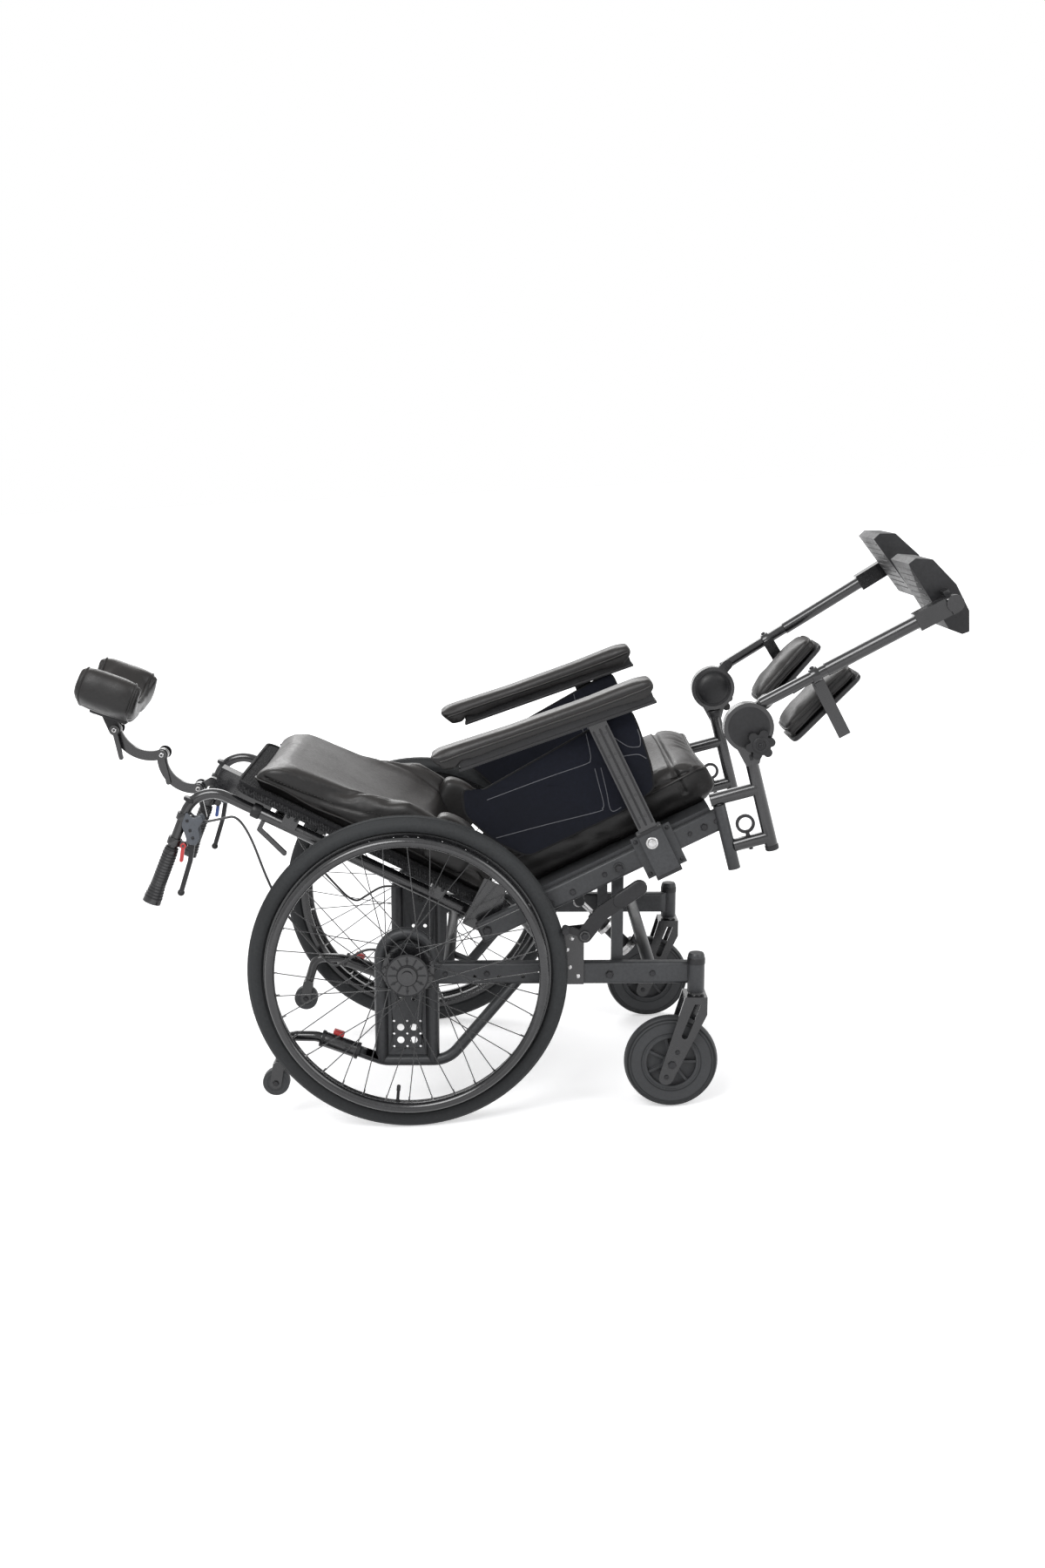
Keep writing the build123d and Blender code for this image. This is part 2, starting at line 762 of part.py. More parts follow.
def spokes():
    pieces = []
    rim = wheel_radius - tyre_depth - rim_depth - seat_gap
    flanges = ((wheel_spread - inner_flange_offset, flange_radius), (wheel_spread + outer_flange_offset,
                                                                     outer_flange_radius))
    for number, (offset, radius) in enumerate(flanges):
        for index in range(spokes_per_flange):
            at_rim = radians((index + number / 2) * 360.0 / spokes_per_flange)
            way = 1 if index % 2 else -1
            at_hub = at_rim + way * radians(spoke_lace)
            beside = flange_thickness / 2 + spoke_radius + running_fit
            head = radius - spoke_inset
            start = (head * cos(at_hub), -offset - way * beside, wheel_radius + head * sin(at_hub))
            nipple = -wheel_spread - (number - 0.5) * 6.0 - way * 1.5
            end = (rim * cos(at_rim), nipple, wheel_radius + rim * sin(at_rim))
            pieces.append(rod(start, end, spoke_radius))
    return pieces


def spoked_wheel():
    return [wheel_rim(), hub()] + spokes()


def handrim():
    ring = spun(Pos(0, handrim_radius) * Circle(handrim_tube), -wheel_spread - handrim_offset)
    tabs = []
    for index in range(handrim_mounts):
        angle = radians((index + 0.5) * 360.0 / handrim_mounts)
        place = (mount_tab_circle * cos(angle), mount_tab_circle * sin(angle))
        tab = pin(AXLE, *place, mount_tab_radius, wheel_spread + rim_well / 2, wheel_spread + handrim_offset)
        tabs.append(tab - wheel_rim() - ring)
    return [ring] + tabs


# ================================================================ casters
FORK = (caster_x, caster_z, fork_slope)                        # runs up the fork's slanted blade


def caster_fork():
    low = point(FORK, -fork_reach, 0)
    left_of_end = point(FORK, -fork_reach, fork_end_radius)
    right_of_end = point(FORK, -fork_reach, -fork_end_radius)
    shape = outline([left_of_end, right_of_end, (fork_front_x, fork_knee_z), (fork_front_x, fork_top),
                     (fork_back_x, fork_top)])
    shape += Pos(*low) * Circle(fork_end_radius)
    shape -= link(fork_slot_ends, fork_slot_width)
    for place in (-fork_hole_step, fork_hole_step):
        shape -= Pos(*point(FORK, place, 0)) * Circle(fork_hole)
    inner = stem_spread + fork_half - fork_thickness / 2
    blade = plate(CHAIR, shape, inner, inner + fork_thickness)
    other = plate(CHAIR, shape, inner - 2 * fork_half, inner - 2 * fork_half + fork_thickness)
    crown = box(CHAIR, (fork_back_x, fork_front_x), (fork_top - fork_crown_thickness, fork_top),
                inner - 2 * fork_half, inner + fork_thickness)
    base = (stem_x, -stem_spread, fork_top)
    washer = rod(base, (stem_x, -stem_spread, stem_bottom - side_play), stem_radius - 2.0)
    stem_end = stem_bottom + stem_bore_depth - 2.0
    stem = rod(base, (stem_x, -stem_spread, stem_end), stem_pin)
    bolt = pin(CHAIR, caster_x, caster_z, caster_pin, inner - 2 * fork_half, inner + fork_thickness + 3.0)
    return [blade + other + crown + washer + stem + bolt]


def caster_wheel():
    y = -stem_spread
    plane = Plane(origin=(caster_x, y, caster_z), x_dir=(0, 1, 0), z_dir=(1, 0, 0))
    axis = Axis((caster_x, y, caster_z), (0, 1, 0))
    half = caster_width / 2
    seat = Line((-half, caster_rim_radius), (half, caster_rim_radius))
    near = Line(seat @ 1, (half, caster_radius - 14.0))
    crown = ThreePointArc(near @ 1, (0, caster_radius), (-half, caster_radius - 14.0))
    far = Line(crown @ 1, seat @ 0)
    tread = revolve(plane * make_face(seat + near + crown + far), axis=axis)
    inner, outer = stem_spread - half, stem_spread + half
    centre = Pos(caster_x, caster_z)
    wheel = plate(CHAIR, centre * (Circle(caster_rim_radius) - Circle(caster_rim_radius - caster_rim_wall)),
                  inner, outer)
    wheel += pin(CHAIR, caster_x, caster_z, caster_rim_radius - 1.0, stem_spread - caster_web / 2,
                 stem_spread + caster_web / 2)
    reach = caster_rim_radius - caster_rim_wall + 1.0
    for index in range(caster_ribs):
        rib = Rot(0, 0, index * 360.0 / caster_ribs) * Pos(reach / 2, 0) * Rectangle(reach, caster_rib_width)
        wheel += plate(CHAIR, centre * rib, inner + 4.0, outer - 4.0)
    wheel += pin(CHAIR, caster_x, caster_z, caster_hub_radius, stem_spread - caster_hub_width / 2,
                 stem_spread + caster_hub_width / 2)
    bore = pin(CHAIR, caster_x, caster_z, caster_pin + running_fit, inner - 20.0, outer + 20.0)
    return [tread, wheel - bore]


# ================================================================ anti-tippers
def antitip_socket():
    y = -frame_spread
    front, rear = spot(TIPPER, socket_overlap, 0, y), spot(TIPPER, -socket_reach, 0, y)
    sleeve = rod(front, rear, socket_radius)
    sleeve -= rod(spot(TIPPER, socket_overlap + 1.0, 0, y), (lower_rear_x, y, lower_rear_z), lower_tube)
    sleeve -= rod((lower_rear_x, y, lower_rear_z), spot(TIPPER, -socket_reach - 1.0, 0, y),
                  tip_arm + running_fit)
    button = rod(spot(TIPPER, -socket_reach / 2, socket_radius - 1.5, y),
                 spot(TIPPER, -socket_reach / 2, socket_radius + 5.0, y), socket_button)
    return [sleeve, button - sleeve]


def antitip_arm():
    y = -frame_spread
    start = spot(TIPPER, -2.0, 0, y)
    points = [start, spot(TIPPER, -tip_arm_knee, 0, y)] + [(x, y, z) for x,
                                                           z in (tip_arm_elbow, tip_arm_end)]
    arm = bent(points, tip_arm, list(tip_arm_bends))
    ear_inner = tip_wheel_width / 2 + side_play
    ear_outer = ear_inner + tip_ear_thickness
    x, z = tip_arm_end
    arm += box(CHAIR, (x - tip_ear_radius, x + tip_ear_radius), (z - tip_block + 2.0, z + 2.0),
               frame_spread - ear_outer, frame_spread + ear_outer)
    ear = link(((x - 1.0, z - tip_block / 2), tip_wheel), 2 * tip_ear_radius)
    arm += plate(CHAIR, ear, frame_spread + ear_inner, frame_spread + ear_outer)
    arm += plate(CHAIR, ear, frame_spread - ear_outer, frame_spread - ear_inner)
    arm -= plate(CHAIR, Pos(*tip_wheel) * Circle(tip_wheel_radius + 1.0),
                 frame_spread - ear_inner, frame_spread + ear_inner)
    return [arm + pin(CHAIR, *tip_wheel, small_pin, frame_spread - ear_outer, frame_spread + ear_outer)]


def antitip_wheel():
    shape = Pos(*tip_wheel) * (Circle(tip_wheel_radius) - Circle(small_pin + running_fit))
    half = tip_wheel_width / 2
    return [plate(CHAIR, shape, frame_spread - half, frame_spread + half)]


# ================================================================ seat frame
def arm_socket():
    inner, outer = seat_rail_outer, upright_spread + upright_depth / 2 + arm_socket_wall
    left, right = upright_u - arm_socket_width / 2, upright_u + arm_socket_width / 2
    body = box(SEAT, (left, right), (arm_socket_bottom, arm_socket_top), inner, outer)
    flange_half = arm_flange_width / 2
    body += box(SEAT, (upright_u - flange_half, upright_u + flange_half),
                (arm_socket_bottom + 6.0, arm_socket_top - 8.0), inner, inner + arm_flange_thickness)
    slot = (upright_u - upright_width / 2 - running_fit, upright_u + upright_width / 2 + running_fit)
    half = upright_depth / 2 + running_fit
    body -= box(SEAT, slot, (arm_socket_bottom - 1.0, arm_socket_top + 1.0),
                upright_spread - half, upright_spread + half)
    for along in (-1.0, 1.0):
        for up in (arm_socket_bottom + 14.0, arm_socket_top - 16.0):
            body -= pin(SEAT, upright_u + along * (flange_half - 7.0), up, rail_hole, inner - 1.0, outer)
    return [body, pin(SEAT, *arm_button, arm_button_radius, outer, outer + arm_button_length)]


def leg_receiver_tube():
    y = -leg_spread
    top, bottom = spot(SWING, 0, 0, y), spot(SWING, 0, -leg_receiver_length, y)
    return rod(bottom, top, leg_receiver) - rod(spot(SWING, 0, -swing_pin_length - 3.0, y),
                                                spot(SWING, 0, 1.0, y), swing_pin + running_fit)


def seat_rail():
    middle = (seat_rail_inner + seat_rail_outer) / 2
    front = swing_u - 5.0
    section = across(SEAT, seat_rail_rear, 0, -middle)
    section *= RectangleRounded(seat_rail_width, seat_rail_height, seat_rail_corner)
    rail = extrude(section, amount=front - seat_rail_rear)
    for place in (0.0, -back_setback):
        rail -= pin(SEAT, place, 0, pivot_pin + running_fit, seat_rail_inner - 1.0, seat_rail_outer + 1.0)
    y = -leg_spread
    return rail - rod(spot(SWING, 0, -leg_receiver_length, y), spot(SWING, 0, 0, y), leg_receiver)


def seat_frame():
    sides = both_sides([seat_rail(), leg_receiver_tube()] + arm_socket())
    pieces = []
    for place in (seat_cross_rear, seat_cross_front):
        pieces.append(rod(spot(SEAT, place, 0, -seat_rail_inner), spot(SEAT, place, 0, seat_rail_inner),
                          cross_tube))
    rear = (seat_cross_rear, 0.0)
    pieces.append(spring_lugs(SEAT, rear, tilt_spring_seat, tilt_spring_y, spring_half, cross_tube))
    pieces.append(spring_lugs(SEAT, rear, recline_spring_seat, recline_spring_y, spring_half, cross_tube))
    top = seat_rail_height / 2
    pan = box(SEAT, (pan_rear, pan_front), (top, top + pan_thickness), -pan_half, pan_half)
    return sides + pieces + [pan]


def cushion_section(half, base, edge, crown, draw):
    """A flat-bottomed section with drawn-in sides and a crowned top."""
    bottom = Line((-half, base), (half, base))
    right = ThreePointArc(bottom @ 1, (half - draw, (base + edge) / 2), (half, edge))
    top = ThreePointArc(right @ 1, (0, edge + crown), (-half, edge))
    left = ThreePointArc(top @ 1, (-half + draw, (base + edge) / 2), bottom @ 0)
    return make_face(bottom + right + top + left)


def seat_cushion():
    """Boxed cushion whose front edge rolls over and stands ahead of the pan."""
    base = seat_rail_height / 2 + pan_thickness + seat_gap
    length = seat_cushion_front - seat_cushion_rear
    stations = ((0.0, 8.0, 2.0), (0.03, 1.0, 6.0), (0.12, 0.0, 10.0), (0.30, 0.0, 12.0), (0.75, 0.0, 12.0),
                (0.88, 4.0, 10.0), (0.94, 11.0, 8.0), (0.98, 22.0, 6.0), (1.0, 36.0, 4.0))
    sections = []
    for share, fall, crown in stations:
        lift = max(0.0, fall / 3.0 - 2.0) if share > 0.5 else 0.0
        edge = base + seat_cushion_side - fall
        section = cushion_section(cushion_half - fall / 4.0, base + lift, edge, crown, cushion_draw)
        sections.append(across(SEAT, seat_cushion_rear + share * length, 0) * section)
    return [loft(sections, ruled=True)]


# ================================================================ armrests
def armrest_upright():
    shape = (upright_u - upright_width / 2, upright_u + upright_width / 2)
    half = upright_depth / 2
    lift = upright_width / 2 * tan(radians(-arm_slope))
    blank = box(SEAT, shape, (upright_bottom, upright_top + lift), upright_spread - half,
                upright_spread + half)
    return [blank - arm_rail()]


def arm_rail():
    half = arm_rail_width / 2
    return box(ARM, (arm_rail_rear, arm_rail_front), (0.0, arm_rail_height), arm_pad_spread - half,
               arm_pad_spread + half)


def pad_section(half, low, high, round_over):
    """A flat-bottomed section with rounded upper edges."""
    side_top = high - round_over
    share = round_over * (1.0 - cos(radians(45)))
    bottom = Line((-half, low), (half, low))
    right = Line(bottom @ 1, (half, side_top))
    right_arc = ThreePointArc(right @ 1, (half - share, high - share), (half - round_over, high))
    top = Line(right_arc @ 1, (-half + round_over, high))
    left_arc = ThreePointArc(top @ 1, (-half + share, high - share), (-half, side_top))
    return make_face(bottom + right + right_arc + top + left_arc + Line(left_arc @ 1, bottom @ 0))


def armrest_pad():
    """The pad on its black rail: thicker and cut at a slant at the rear, with a slightly sagging top."""
    rear, front = arm_pad_rear, arm_pad_front
    high, low = arm_pad_top, arm_rail_height
    sag = high - arm_pad_sag
    stations = ((rear, high - 8.0, high - 2.0), (rear + 20.0, arm_pad_rear_bottom + 4.0, high - 2.0),
                (arm_rail_rear - 5.0, arm_pad_rear_bottom, high - 3.0), (arm_rail_rear, low, high - 3.0),
                (0.5 * rear, low, sag), (0.0, low, sag + 1.0), (front - arm_pad_nose, low, high),
                (front - 0.4 * arm_pad_nose, low + 2.0, high - 2.0), (front, low + 8.0, high - 9.0))
    sections = []
    for along, bottom, top in stations:
        section = pad_section(arm_pad_width / 2, bottom, top, min(arm_pad_round, 0.6 * (top - bottom)))
        sections.append(across(ARM, along, 0, -arm_pad_spread) * section)
    pad = loft(sections, ruled=True)
    return [pad, arm_rail() - pad]


def side_panel():
    """Cloth-covered panel under the armrest rail."""
    front_u = panel_outline[-1][0]
    turn = radians(arm_slope)
    rear_u = upright_u + (arm_rail_rear + 6.0) * cos(turn)
    rear_n = upright_top + (arm_rail_rear + 6.0) * sin(turn)
    front_n = upright_top + (front_u - upright_u) * tan(turn)
    points = [(rear_u, rear_n)] + list(panel_outline) + [(front_u, front_n)]
    return [plate(SEAT, outline(points), panel_inner, panel_inner + panel_thickness)]


# ================================================================ reclining back
def hinge_plate():
    shape = outline([(hinge_plate_drop, -hinge_plate_drop), (hinge_plate_drop, hinge_plate_rise * 0.2),
                     (0.0, hinge_plate_rise), (-hinge_plate_reach, hinge_plate_rise),
                     (-hinge_plate_reach, -hinge_plate_drop)])
    half = hinge_plate_thickness / 2
    inner, outer = hinge_plate_spread - half, hinge_plate_spread + half
    hinge = plate(BACK, shape, inner, outer)
    return hinge + pin(BACK, 0, 0, pivot_pin, outer, seat_rail_outer + 1.0)


def back_tube_run():
    y = -back_tube_spread
    tube = rod(spot(BACK, 0, 0, y), spot(BACK, -back_tube_length, 0, y), back_tube)
    bore_start = back_tube_length - handle_insert - 6.0
    tube -= rod(spot(BACK, -bore_start, 0, y), spot(BACK, -back_tube_length - 1.0, 0, y),
                handle_tube + running_fit)
    shaft = rod(spot(BACK, 0, 0, -hinge_plate_spread), spot(BACK, 0, 0, hinge_plate_spread), cross_tube)
    return tube - shaft


def saddle(place):
    half = saddle_length / 2
    block = box(BACK, (-place - half, -place + half), (0.0, shell_bottom),
                back_tube_spread - saddle_width / 2,
                back_tube_spread + saddle_width / 2)
    y = -back_tube_spread
    return block - rod(spot(BACK, 0, 0, y), spot(BACK, -back_tube_length, 0, y), back_tube)


def head_bracket():
    """Flat bar from the upper cross tube to the block that holds the headrest's post."""
    low, high = head_block
    half = head_bar_width / 2
    top = head_bar_thickness / 2
    bar = box(BACK, (-high, -back_cross_at), (-top, top), -half, half)
    bar -= rod(spot(BACK, -back_cross_at, 0, -half - 1.0), spot(BACK, -back_cross_at, 0, half + 1.0),
               cross_tube)
    hold = head_block_half
    block = box(BACK, (-high, -low), (head_post_m - hold + 4.0, -top), -hold, hold)
    slot = head_post_half + running_fit
    block -= box(BACK, (-high - 1.0, -low + 1.0), (head_post_m - slot, head_post_m + slot), -slot, slot)
    return bar + block


def latch_lever():
    shape = link(((-latch_pivot[0], latch_pivot[1]), (-latch_tip[0], latch_tip[1])), latch_width)
    shape += link(((-latch_pivot[0], latch_pivot[1]), (-latch_pivot[0], -back_tube)), latch_width)
    return plate(BACK, shape, back_tube_spread - 5.0, back_tube_spread + 5.0)


def back_frame():
    inner = hinge_plate_spread - hinge_plate_thickness / 2
    y = -back_tube_spread
    tube_blank = rod(spot(BACK, 0, 0, y), spot(BACK, -back_tube_length, 0, y), back_tube)
    sides = [hinge_plate(), back_tube_run(),
             latch_lever() - tube_blank] + [saddle(place) for place in saddle_places]
    shaft = rod(spot(BACK, 0, 0, -inner), spot(BACK, 0, 0, inner), cross_tube)
    reach = back_tube_spread
    cross = rod(spot(BACK, -back_cross_at, 0, -reach), spot(BACK, -back_cross_at, 0, reach), cross_tube)
    cross -= tube_blank + mirror(tube_blank, about=Plane.XZ)
    knuckle = (0.0, 0.0)
    lugs = spring_lugs(BACK, knuckle, (-recline_spring_back[0], recline_spring_back[1]), recline_spring_y,
                       spring_half, cross_tube)
    return both_sides(sides) + [shaft, cross, lugs, head_bracket()]


def back_shell():
    length = shell_end - shell_start
    middle = (shell_start + shell_end) / 2
    top = Plane(origin=spot(BACK, -middle, shell_bottom, 0), x_dir=(0, 1, 0),
                z_dir=(-sin(radians(BACK[2])), 0, cos(radians(BACK[2]))))
    return [extrude(top * RectangleRounded(2 * shell_half, length, shell_round), amount=shell_thickness)]


def contour_section(place, wing, middle, half, base):
    """A back cushion's section: raised wings at the sides and a shallow hollow between them."""
    inner = half - 62.0
    crest = half - 22.0
    edge = wing - min(16.0, 0.4 * (wing - base))
    shoulder = 0.35 * wing + 0.65 * middle
    drawn = half - 0.06 * (edge - base)
    bottom = Line((-half, base), (half, base))
    right = ThreePointArc(bottom @ 1, (drawn, (base + edge) / 2), (half, edge))
    crest_right = ThreePointArc(right @ 1, (crest + 13.0, 0.8 * wing + 0.2 * edge), (crest, wing))
    fall = Line(crest_right @ 1, (inner, shoulder))
    hollow = ThreePointArc(fall @ 1, (0, middle), (-inner, shoulder))
    rise = Line(hollow @ 1, (-crest, wing))
    crest_left = ThreePointArc(rise @ 1, (-crest - 13.0, 0.8 * wing + 0.2 * edge), (-half, edge))
    left = ThreePointArc(crest_left @ 1, (-drawn, (base + edge) / 2), bottom @ 0)
    shape = bottom + right + crest_right + fall + hollow + rise + crest_left + left
    return across(BACK, -place, 0) * make_face(shape)


def back_cushion():
    """Contoured cushion: thin over the seat cushion, wings beside the ribs, a lower rounded head end."""
    base = shell_bottom + shell_thickness + seat_gap
    stations = ((38.0, 62.0, 58.0, -3.0), (124.0, 62.0, 60.0, 0.0), (168.0, 152.0, 84.0, 0.0),
                (240.0, 156.0, 88.0, 0.0),
                (300.0, 131.0, 92.0, 0.0), (360.0, 110.0, 97.0, 0.0), (430.0, 103.0, 101.0, 0.0),
                (490.0, 99.0, 100.0, 0.0), (520.0, 86.0, 92.0, -3.0), (542.0, 62.0, 66.0, -12.0))
    sections = []
    for place, wing, middle, spread in stations:
        sections.append(contour_section(place, wing, middle, back_cushion_half + spread, base))
    return [loft(sections, ruled=True)]


# ================================================================ push handles
def push_handle():
    y = -back_tube_spread
    start = back_tube_length - handle_insert
    points = [spot(BACK, -start, 0, y), spot(GRIP, 0, 0, y), spot(GRIP, handle_tube_stop, 0, y)]
    tube = bent(points, handle_tube, [handle_bend])
    rings = ((grip_start, grip_radius), (grip_flare, grip_radius + 1.0), (grip_end, grip_end_radius))
    grip = loft([across(GRIP, place, 0, y) * Circle(radius) for place, radius in rings], ruled=True)
    half = clamp_length / 2
    outside = handle_tube + clamp_wall
    lever_clamp = rod(spot(GRIP, clamp_at - half, 0, y), spot(GRIP, clamp_at + half, 0, y), outside)
    housing = link((housing_foot, lever_pivot), 2 * lever_housing)
    cheek = lever_thickness / 2 + side_play
    spread = back_tube_spread
    lever_clamp += plate(GRIP, housing, spread - cheek - 3.0, spread - cheek)
    lever_clamp += plate(GRIP, housing, spread + cheek, spread + cheek + 3.0)
    bridge = link((housing_foot, bridge_end), 2 * lever_housing)
    lever_clamp += plate(GRIP, bridge, spread - cheek, spread + cheek)
    lever_clamp += pin(GRIP, *lever_pivot, small_pin, spread - cheek - 3.0, spread + cheek + 3.0)
    trigger_clamp = rod(spot(GRIP, trigger_clamp_at - half, 0, y),
                        spot(GRIP, trigger_clamp_at + half, 0, y), outside)
    ear = link(((trigger_clamp_at, 6.0), trigger_pivot), clamp_length)
    ear_outer = spread + trigger_offset - side_play
    trigger_clamp += plate(GRIP, ear, ear_outer - 4.0, ear_outer)
    trigger_clamp += pin(GRIP, *trigger_pivot, 2.5, ear_outer, ear_outer + trigger_thickness + 2 * side_play)
    blank = rod(spot(GRIP, 0, 0, y), spot(GRIP, handle_tube_stop, 0, y), handle_tube)
    return [tube, grip - blank, lever_clamp - blank, trigger_clamp - blank]


def brake_lever():
    shape = link((lever_pivot, lever_bend, lever_tip), lever_width)
    shape += Pos(*lever_pivot) * Circle(lever_housing - 1.0)
    shape -= Pos(*lever_pivot) * Circle(small_pin + running_fit)
    half = lever_thickness / 2
    blade = plate(GRIP, shape, back_tube_spread - half, back_tube_spread + half)
    return [blade + Pos(*spot(GRIP, *lever_tip, -back_tube_spread)) * Sphere(lever_ball)]


def trigger():
    shape = link((trigger_pivot, trigger_tip), trigger_width)
    shape += Pos(*trigger_pivot) * Circle(trigger_width * 0.8)
    shape -= Pos(*trigger_pivot) * Circle(2.5 + running_fit)
    inner = back_tube_spread + trigger_offset
    return [plate(GRIP, shape, inner, inner + trigger_thickness)]


# ================================================================ headrest
def head_place(place):
    return (-place[0], place[1])


def curved_link(start, end, inner, outer):
    """A link that sags towards the chair's back between its two eyes, with a hinge pin at its far end."""
    run = Vector(end[0] - start[0], end[1] - start[1])
    middle = ((start[0] + end[0]) / 2, (start[1] + end[1]) / 2)
    across_run = (run.Y / run.length, -run.X / run.length)
    if across_run[1] > 0:
        across_run = (-across_run[0], -across_run[1])
    sag = (middle[0] + across_run[0] * head_link_sag, middle[1] + across_run[1] * head_link_sag)
    shape = Sketch() + trace(ThreePointArc(start, sag, end), line_width=head_link_width)
    shape += Pos(*start) * Circle(head_eye)
    shape += Pos(*end) * Circle(head_eye)
    shape -= Pos(*start) * Circle(head_pin + running_fit)
    return plate(BACK, shape, inner, outer)


def clamp_lever(place, outer):
    """The pin's head on the right-hand side, with the clamp lever that hangs from it."""
    turn = clamp_lever_hang - BACK[2]
    end = (place[0] + clamp_lever_length * cos(radians(turn)),
           place[1] + clamp_lever_length * sin(radians(turn)))
    head = pin(BACK, *place, head_eye - 2.0, outer + side_play, outer + side_play + clamp_lever_thickness)
    blade = plate(BACK, link((place, end), clamp_lever_width), outer + side_play,
                  outer + side_play + clamp_lever_thickness)
    return head + blade


def headrest_post():
    y = 0.0
    half = head_post_half
    low = head_place(head_low)
    bar = box(BACK, (-head_bend_at, -head_slide_start), (head_post_m - half, head_post_m + half), -half,
              half)
    neck = link(((-head_bend_at, head_post_m), low), 2 * half)
    eye = Pos(*low) * Circle(head_eye)
    bar += plate(BACK, neck + eye, -half, half)
    outer = half + side_play + link_thickness
    bar += pin(BACK, *low, head_pin, half, outer + side_play)
    return [bar + clamp_lever(low, outer)]


def headrest_lower_link():
    inner = head_post_half + side_play
    outer = inner + link_thickness
    piece = curved_link(head_place(head_low), head_place(head_mid), inner, outer)
    mid = head_place(head_mid)
    piece += pin(BACK, *mid, head_pin, inner - side_play - link_thickness, outer + side_play)
    return [piece + clamp_lever(mid, outer)]


def headrest_upper_link():
    outer = head_post_half
    inner = outer - link_thickness
    piece = curved_link(head_place(head_mid), head_place(head_high), inner, outer)
    high = head_place(head_high)
    reach = outer + side_play + link_thickness
    piece += pin(BACK, *high, head_pin, outer, reach + side_play)
    return [piece + clamp_lever(high, reach)]


PAD = (*point(BACK, *head_place(head_high)), head_pad_pitch)


def headrest_pad():
    """U-shaped pad: a core behind the head and a wing on each side of it, on a short bracket."""
    inner = head_post_half + side_play
    shape = link(((0.0, 0.0), (-head_pad_ahead * 0.6, head_pad_lift)), 2 * head_eye)
    shape -= Circle(head_pin + running_fit)
    bracket = plate(PAD, shape, inner, inner + link_thickness)
    rear = head_pad_ahead - head_pad_length
    floor = head_pad_lift
    half, wing = head_pad_half, head_wing_width
    flat = half - wing
    sections = []
    for share, inset in ((0.0, 12.0), (0.14, 2.0), (0.5, 0.0), (0.86, 2.0), (1.0, 12.0)):
        top, h, f = floor + head_pad_depth - inset, half - inset, flat
        low = floor + inset * 0.5
        bottom = ThreePointArc((-h, low + 30.0), (0.0, low - 4.0 + inset * 0.3), (h, low + 30.0))
        right = ThreePointArc(bottom @ 1, (h + 4.0, low + 56.0), (h - 6.0, top - 10.0))
        crest = ThreePointArc(right @ 1, (h - wing * 0.5, top), (f + inset * 0.4, top - 14.0))
        hollow = ThreePointArc(crest @ 1, (0.0, floor + head_pad_core - inset * 0.5),
                               (-f - inset * 0.4, top - 14.0))
        crest_left = ThreePointArc(hollow @ 1, (-h + wing * 0.5, top), (-h + 6.0, top - 10.0))
        left = ThreePointArc(crest_left @ 1, (-h - 4.0, low + 56.0), bottom @ 0)
        face = make_face(bottom + right + crest + hollow + crest_left + left)
        sections.append(across(PAD, rear + share * head_pad_length, 0) * face)
    pad = loft(sections)
    return [pad, bracket - pad]


# ================================================================ legrests
def knee_frame(lift):
    knee = child(SWING, knee_a, knee_b, 0.0)
    return (knee[0], knee[1], leg_rise + lift)


def leg_hanger():
    y = -leg_spread
    outer_face = knee_inner + 2 * knee_disc + side_play
    inner_face = outer_face - knee_disc
    tube = rod(spot(SWING, leg_tube_a, leg_tube_bottom, y),
               spot(SWING, leg_tube_a, knee_b - knee_radius - 2.0, y),
               leg_tube)
    neck = outline([(leg_tube_a - leg_tube, knee_b - knee_radius - 24.0),
                    (leg_tube_a + leg_tube, knee_b - knee_radius - 24.0),
                    (knee_a + neck_width, knee_b), (knee_a - neck_width, knee_b)])
    disc = plate(SWING, Pos(knee_a, knee_b) * Circle(knee_radius) + neck, inner_face, outer_face)
    top = rod(spot(SWING, top_stub_rear, top_stub_b, y), spot(SWING, leg_tube_a, top_stub_b, y), leg_tube)
    bottom = rod(spot(SWING, leg_receiver - 3.0, bottom_stub_b, y),
                 spot(SWING, leg_tube_a, bottom_stub_b, y), leg_tube)
    bottom -= rod(spot(SWING, 0, -leg_receiver_length - 1.0, y), spot(SWING, 0, 1.0, y),
                  leg_receiver + side_play)
    swing = rod(spot(SWING, 0, -swing_pin_length, y), spot(SWING, 0, top_stub_b, y), swing_pin)
    body = tube + disc + top + bottom + swing
    body += pin(SWING, knee_a, knee_b, pivot_pin, knee_inner, inner_face)
    body -= rod(spot(SWING, ring_a, bottom_stub_b - leg_tube - 5.0, y),
                spot(SWING, ring_a, bottom_stub_b + leg_tube + 1.0, y), small_pin + running_fit)
    return [body - pin(SWING, knob_a, knob_b, small_pin + running_fit, outer_face - knob_screw_length,
                       outer_face + 1.0)]


def leg_knob():
    """Star knob with its screw."""
    start = knee_inner + 2 * knee_disc + 2 * side_play
    shape = Circle(knob_radius - knob_lobe)
    for index in range(knob_lobes):
        shape += Rot(0, 0, index * 360.0 / knob_lobes) * Pos(knob_radius - knob_lobe, 0) * Circle(knob_lobe)
    place = Pos(knob_a, knob_b)
    knob = plate(SWING, place * shape, start + 4.0, start + knob_thickness)
    knob += plate(SWING, place * Circle(knob_hub), start, start + 4.0)
    return [knob + plate(SWING, place * Circle(small_pin), start + side_play - knob_screw_length, start)]


def pull_pin():
    """Ring on the pin that holds the hanger in place."""
    half = ring_thickness / 2
    ring = plate(SWING, Pos(ring_a, ring_b) * (Circle(ring_outer) - Circle(ring_inner)), leg_spread - half,
                 leg_spread + half)
    y = -leg_spread
    stem = rod(spot(SWING, ring_a, bottom_stub_b - leg_tube - 3.0, y),
               spot(SWING, ring_a, ring_b - ring_outer + 3.0, y),
               small_pin)
    return [ring + stem]


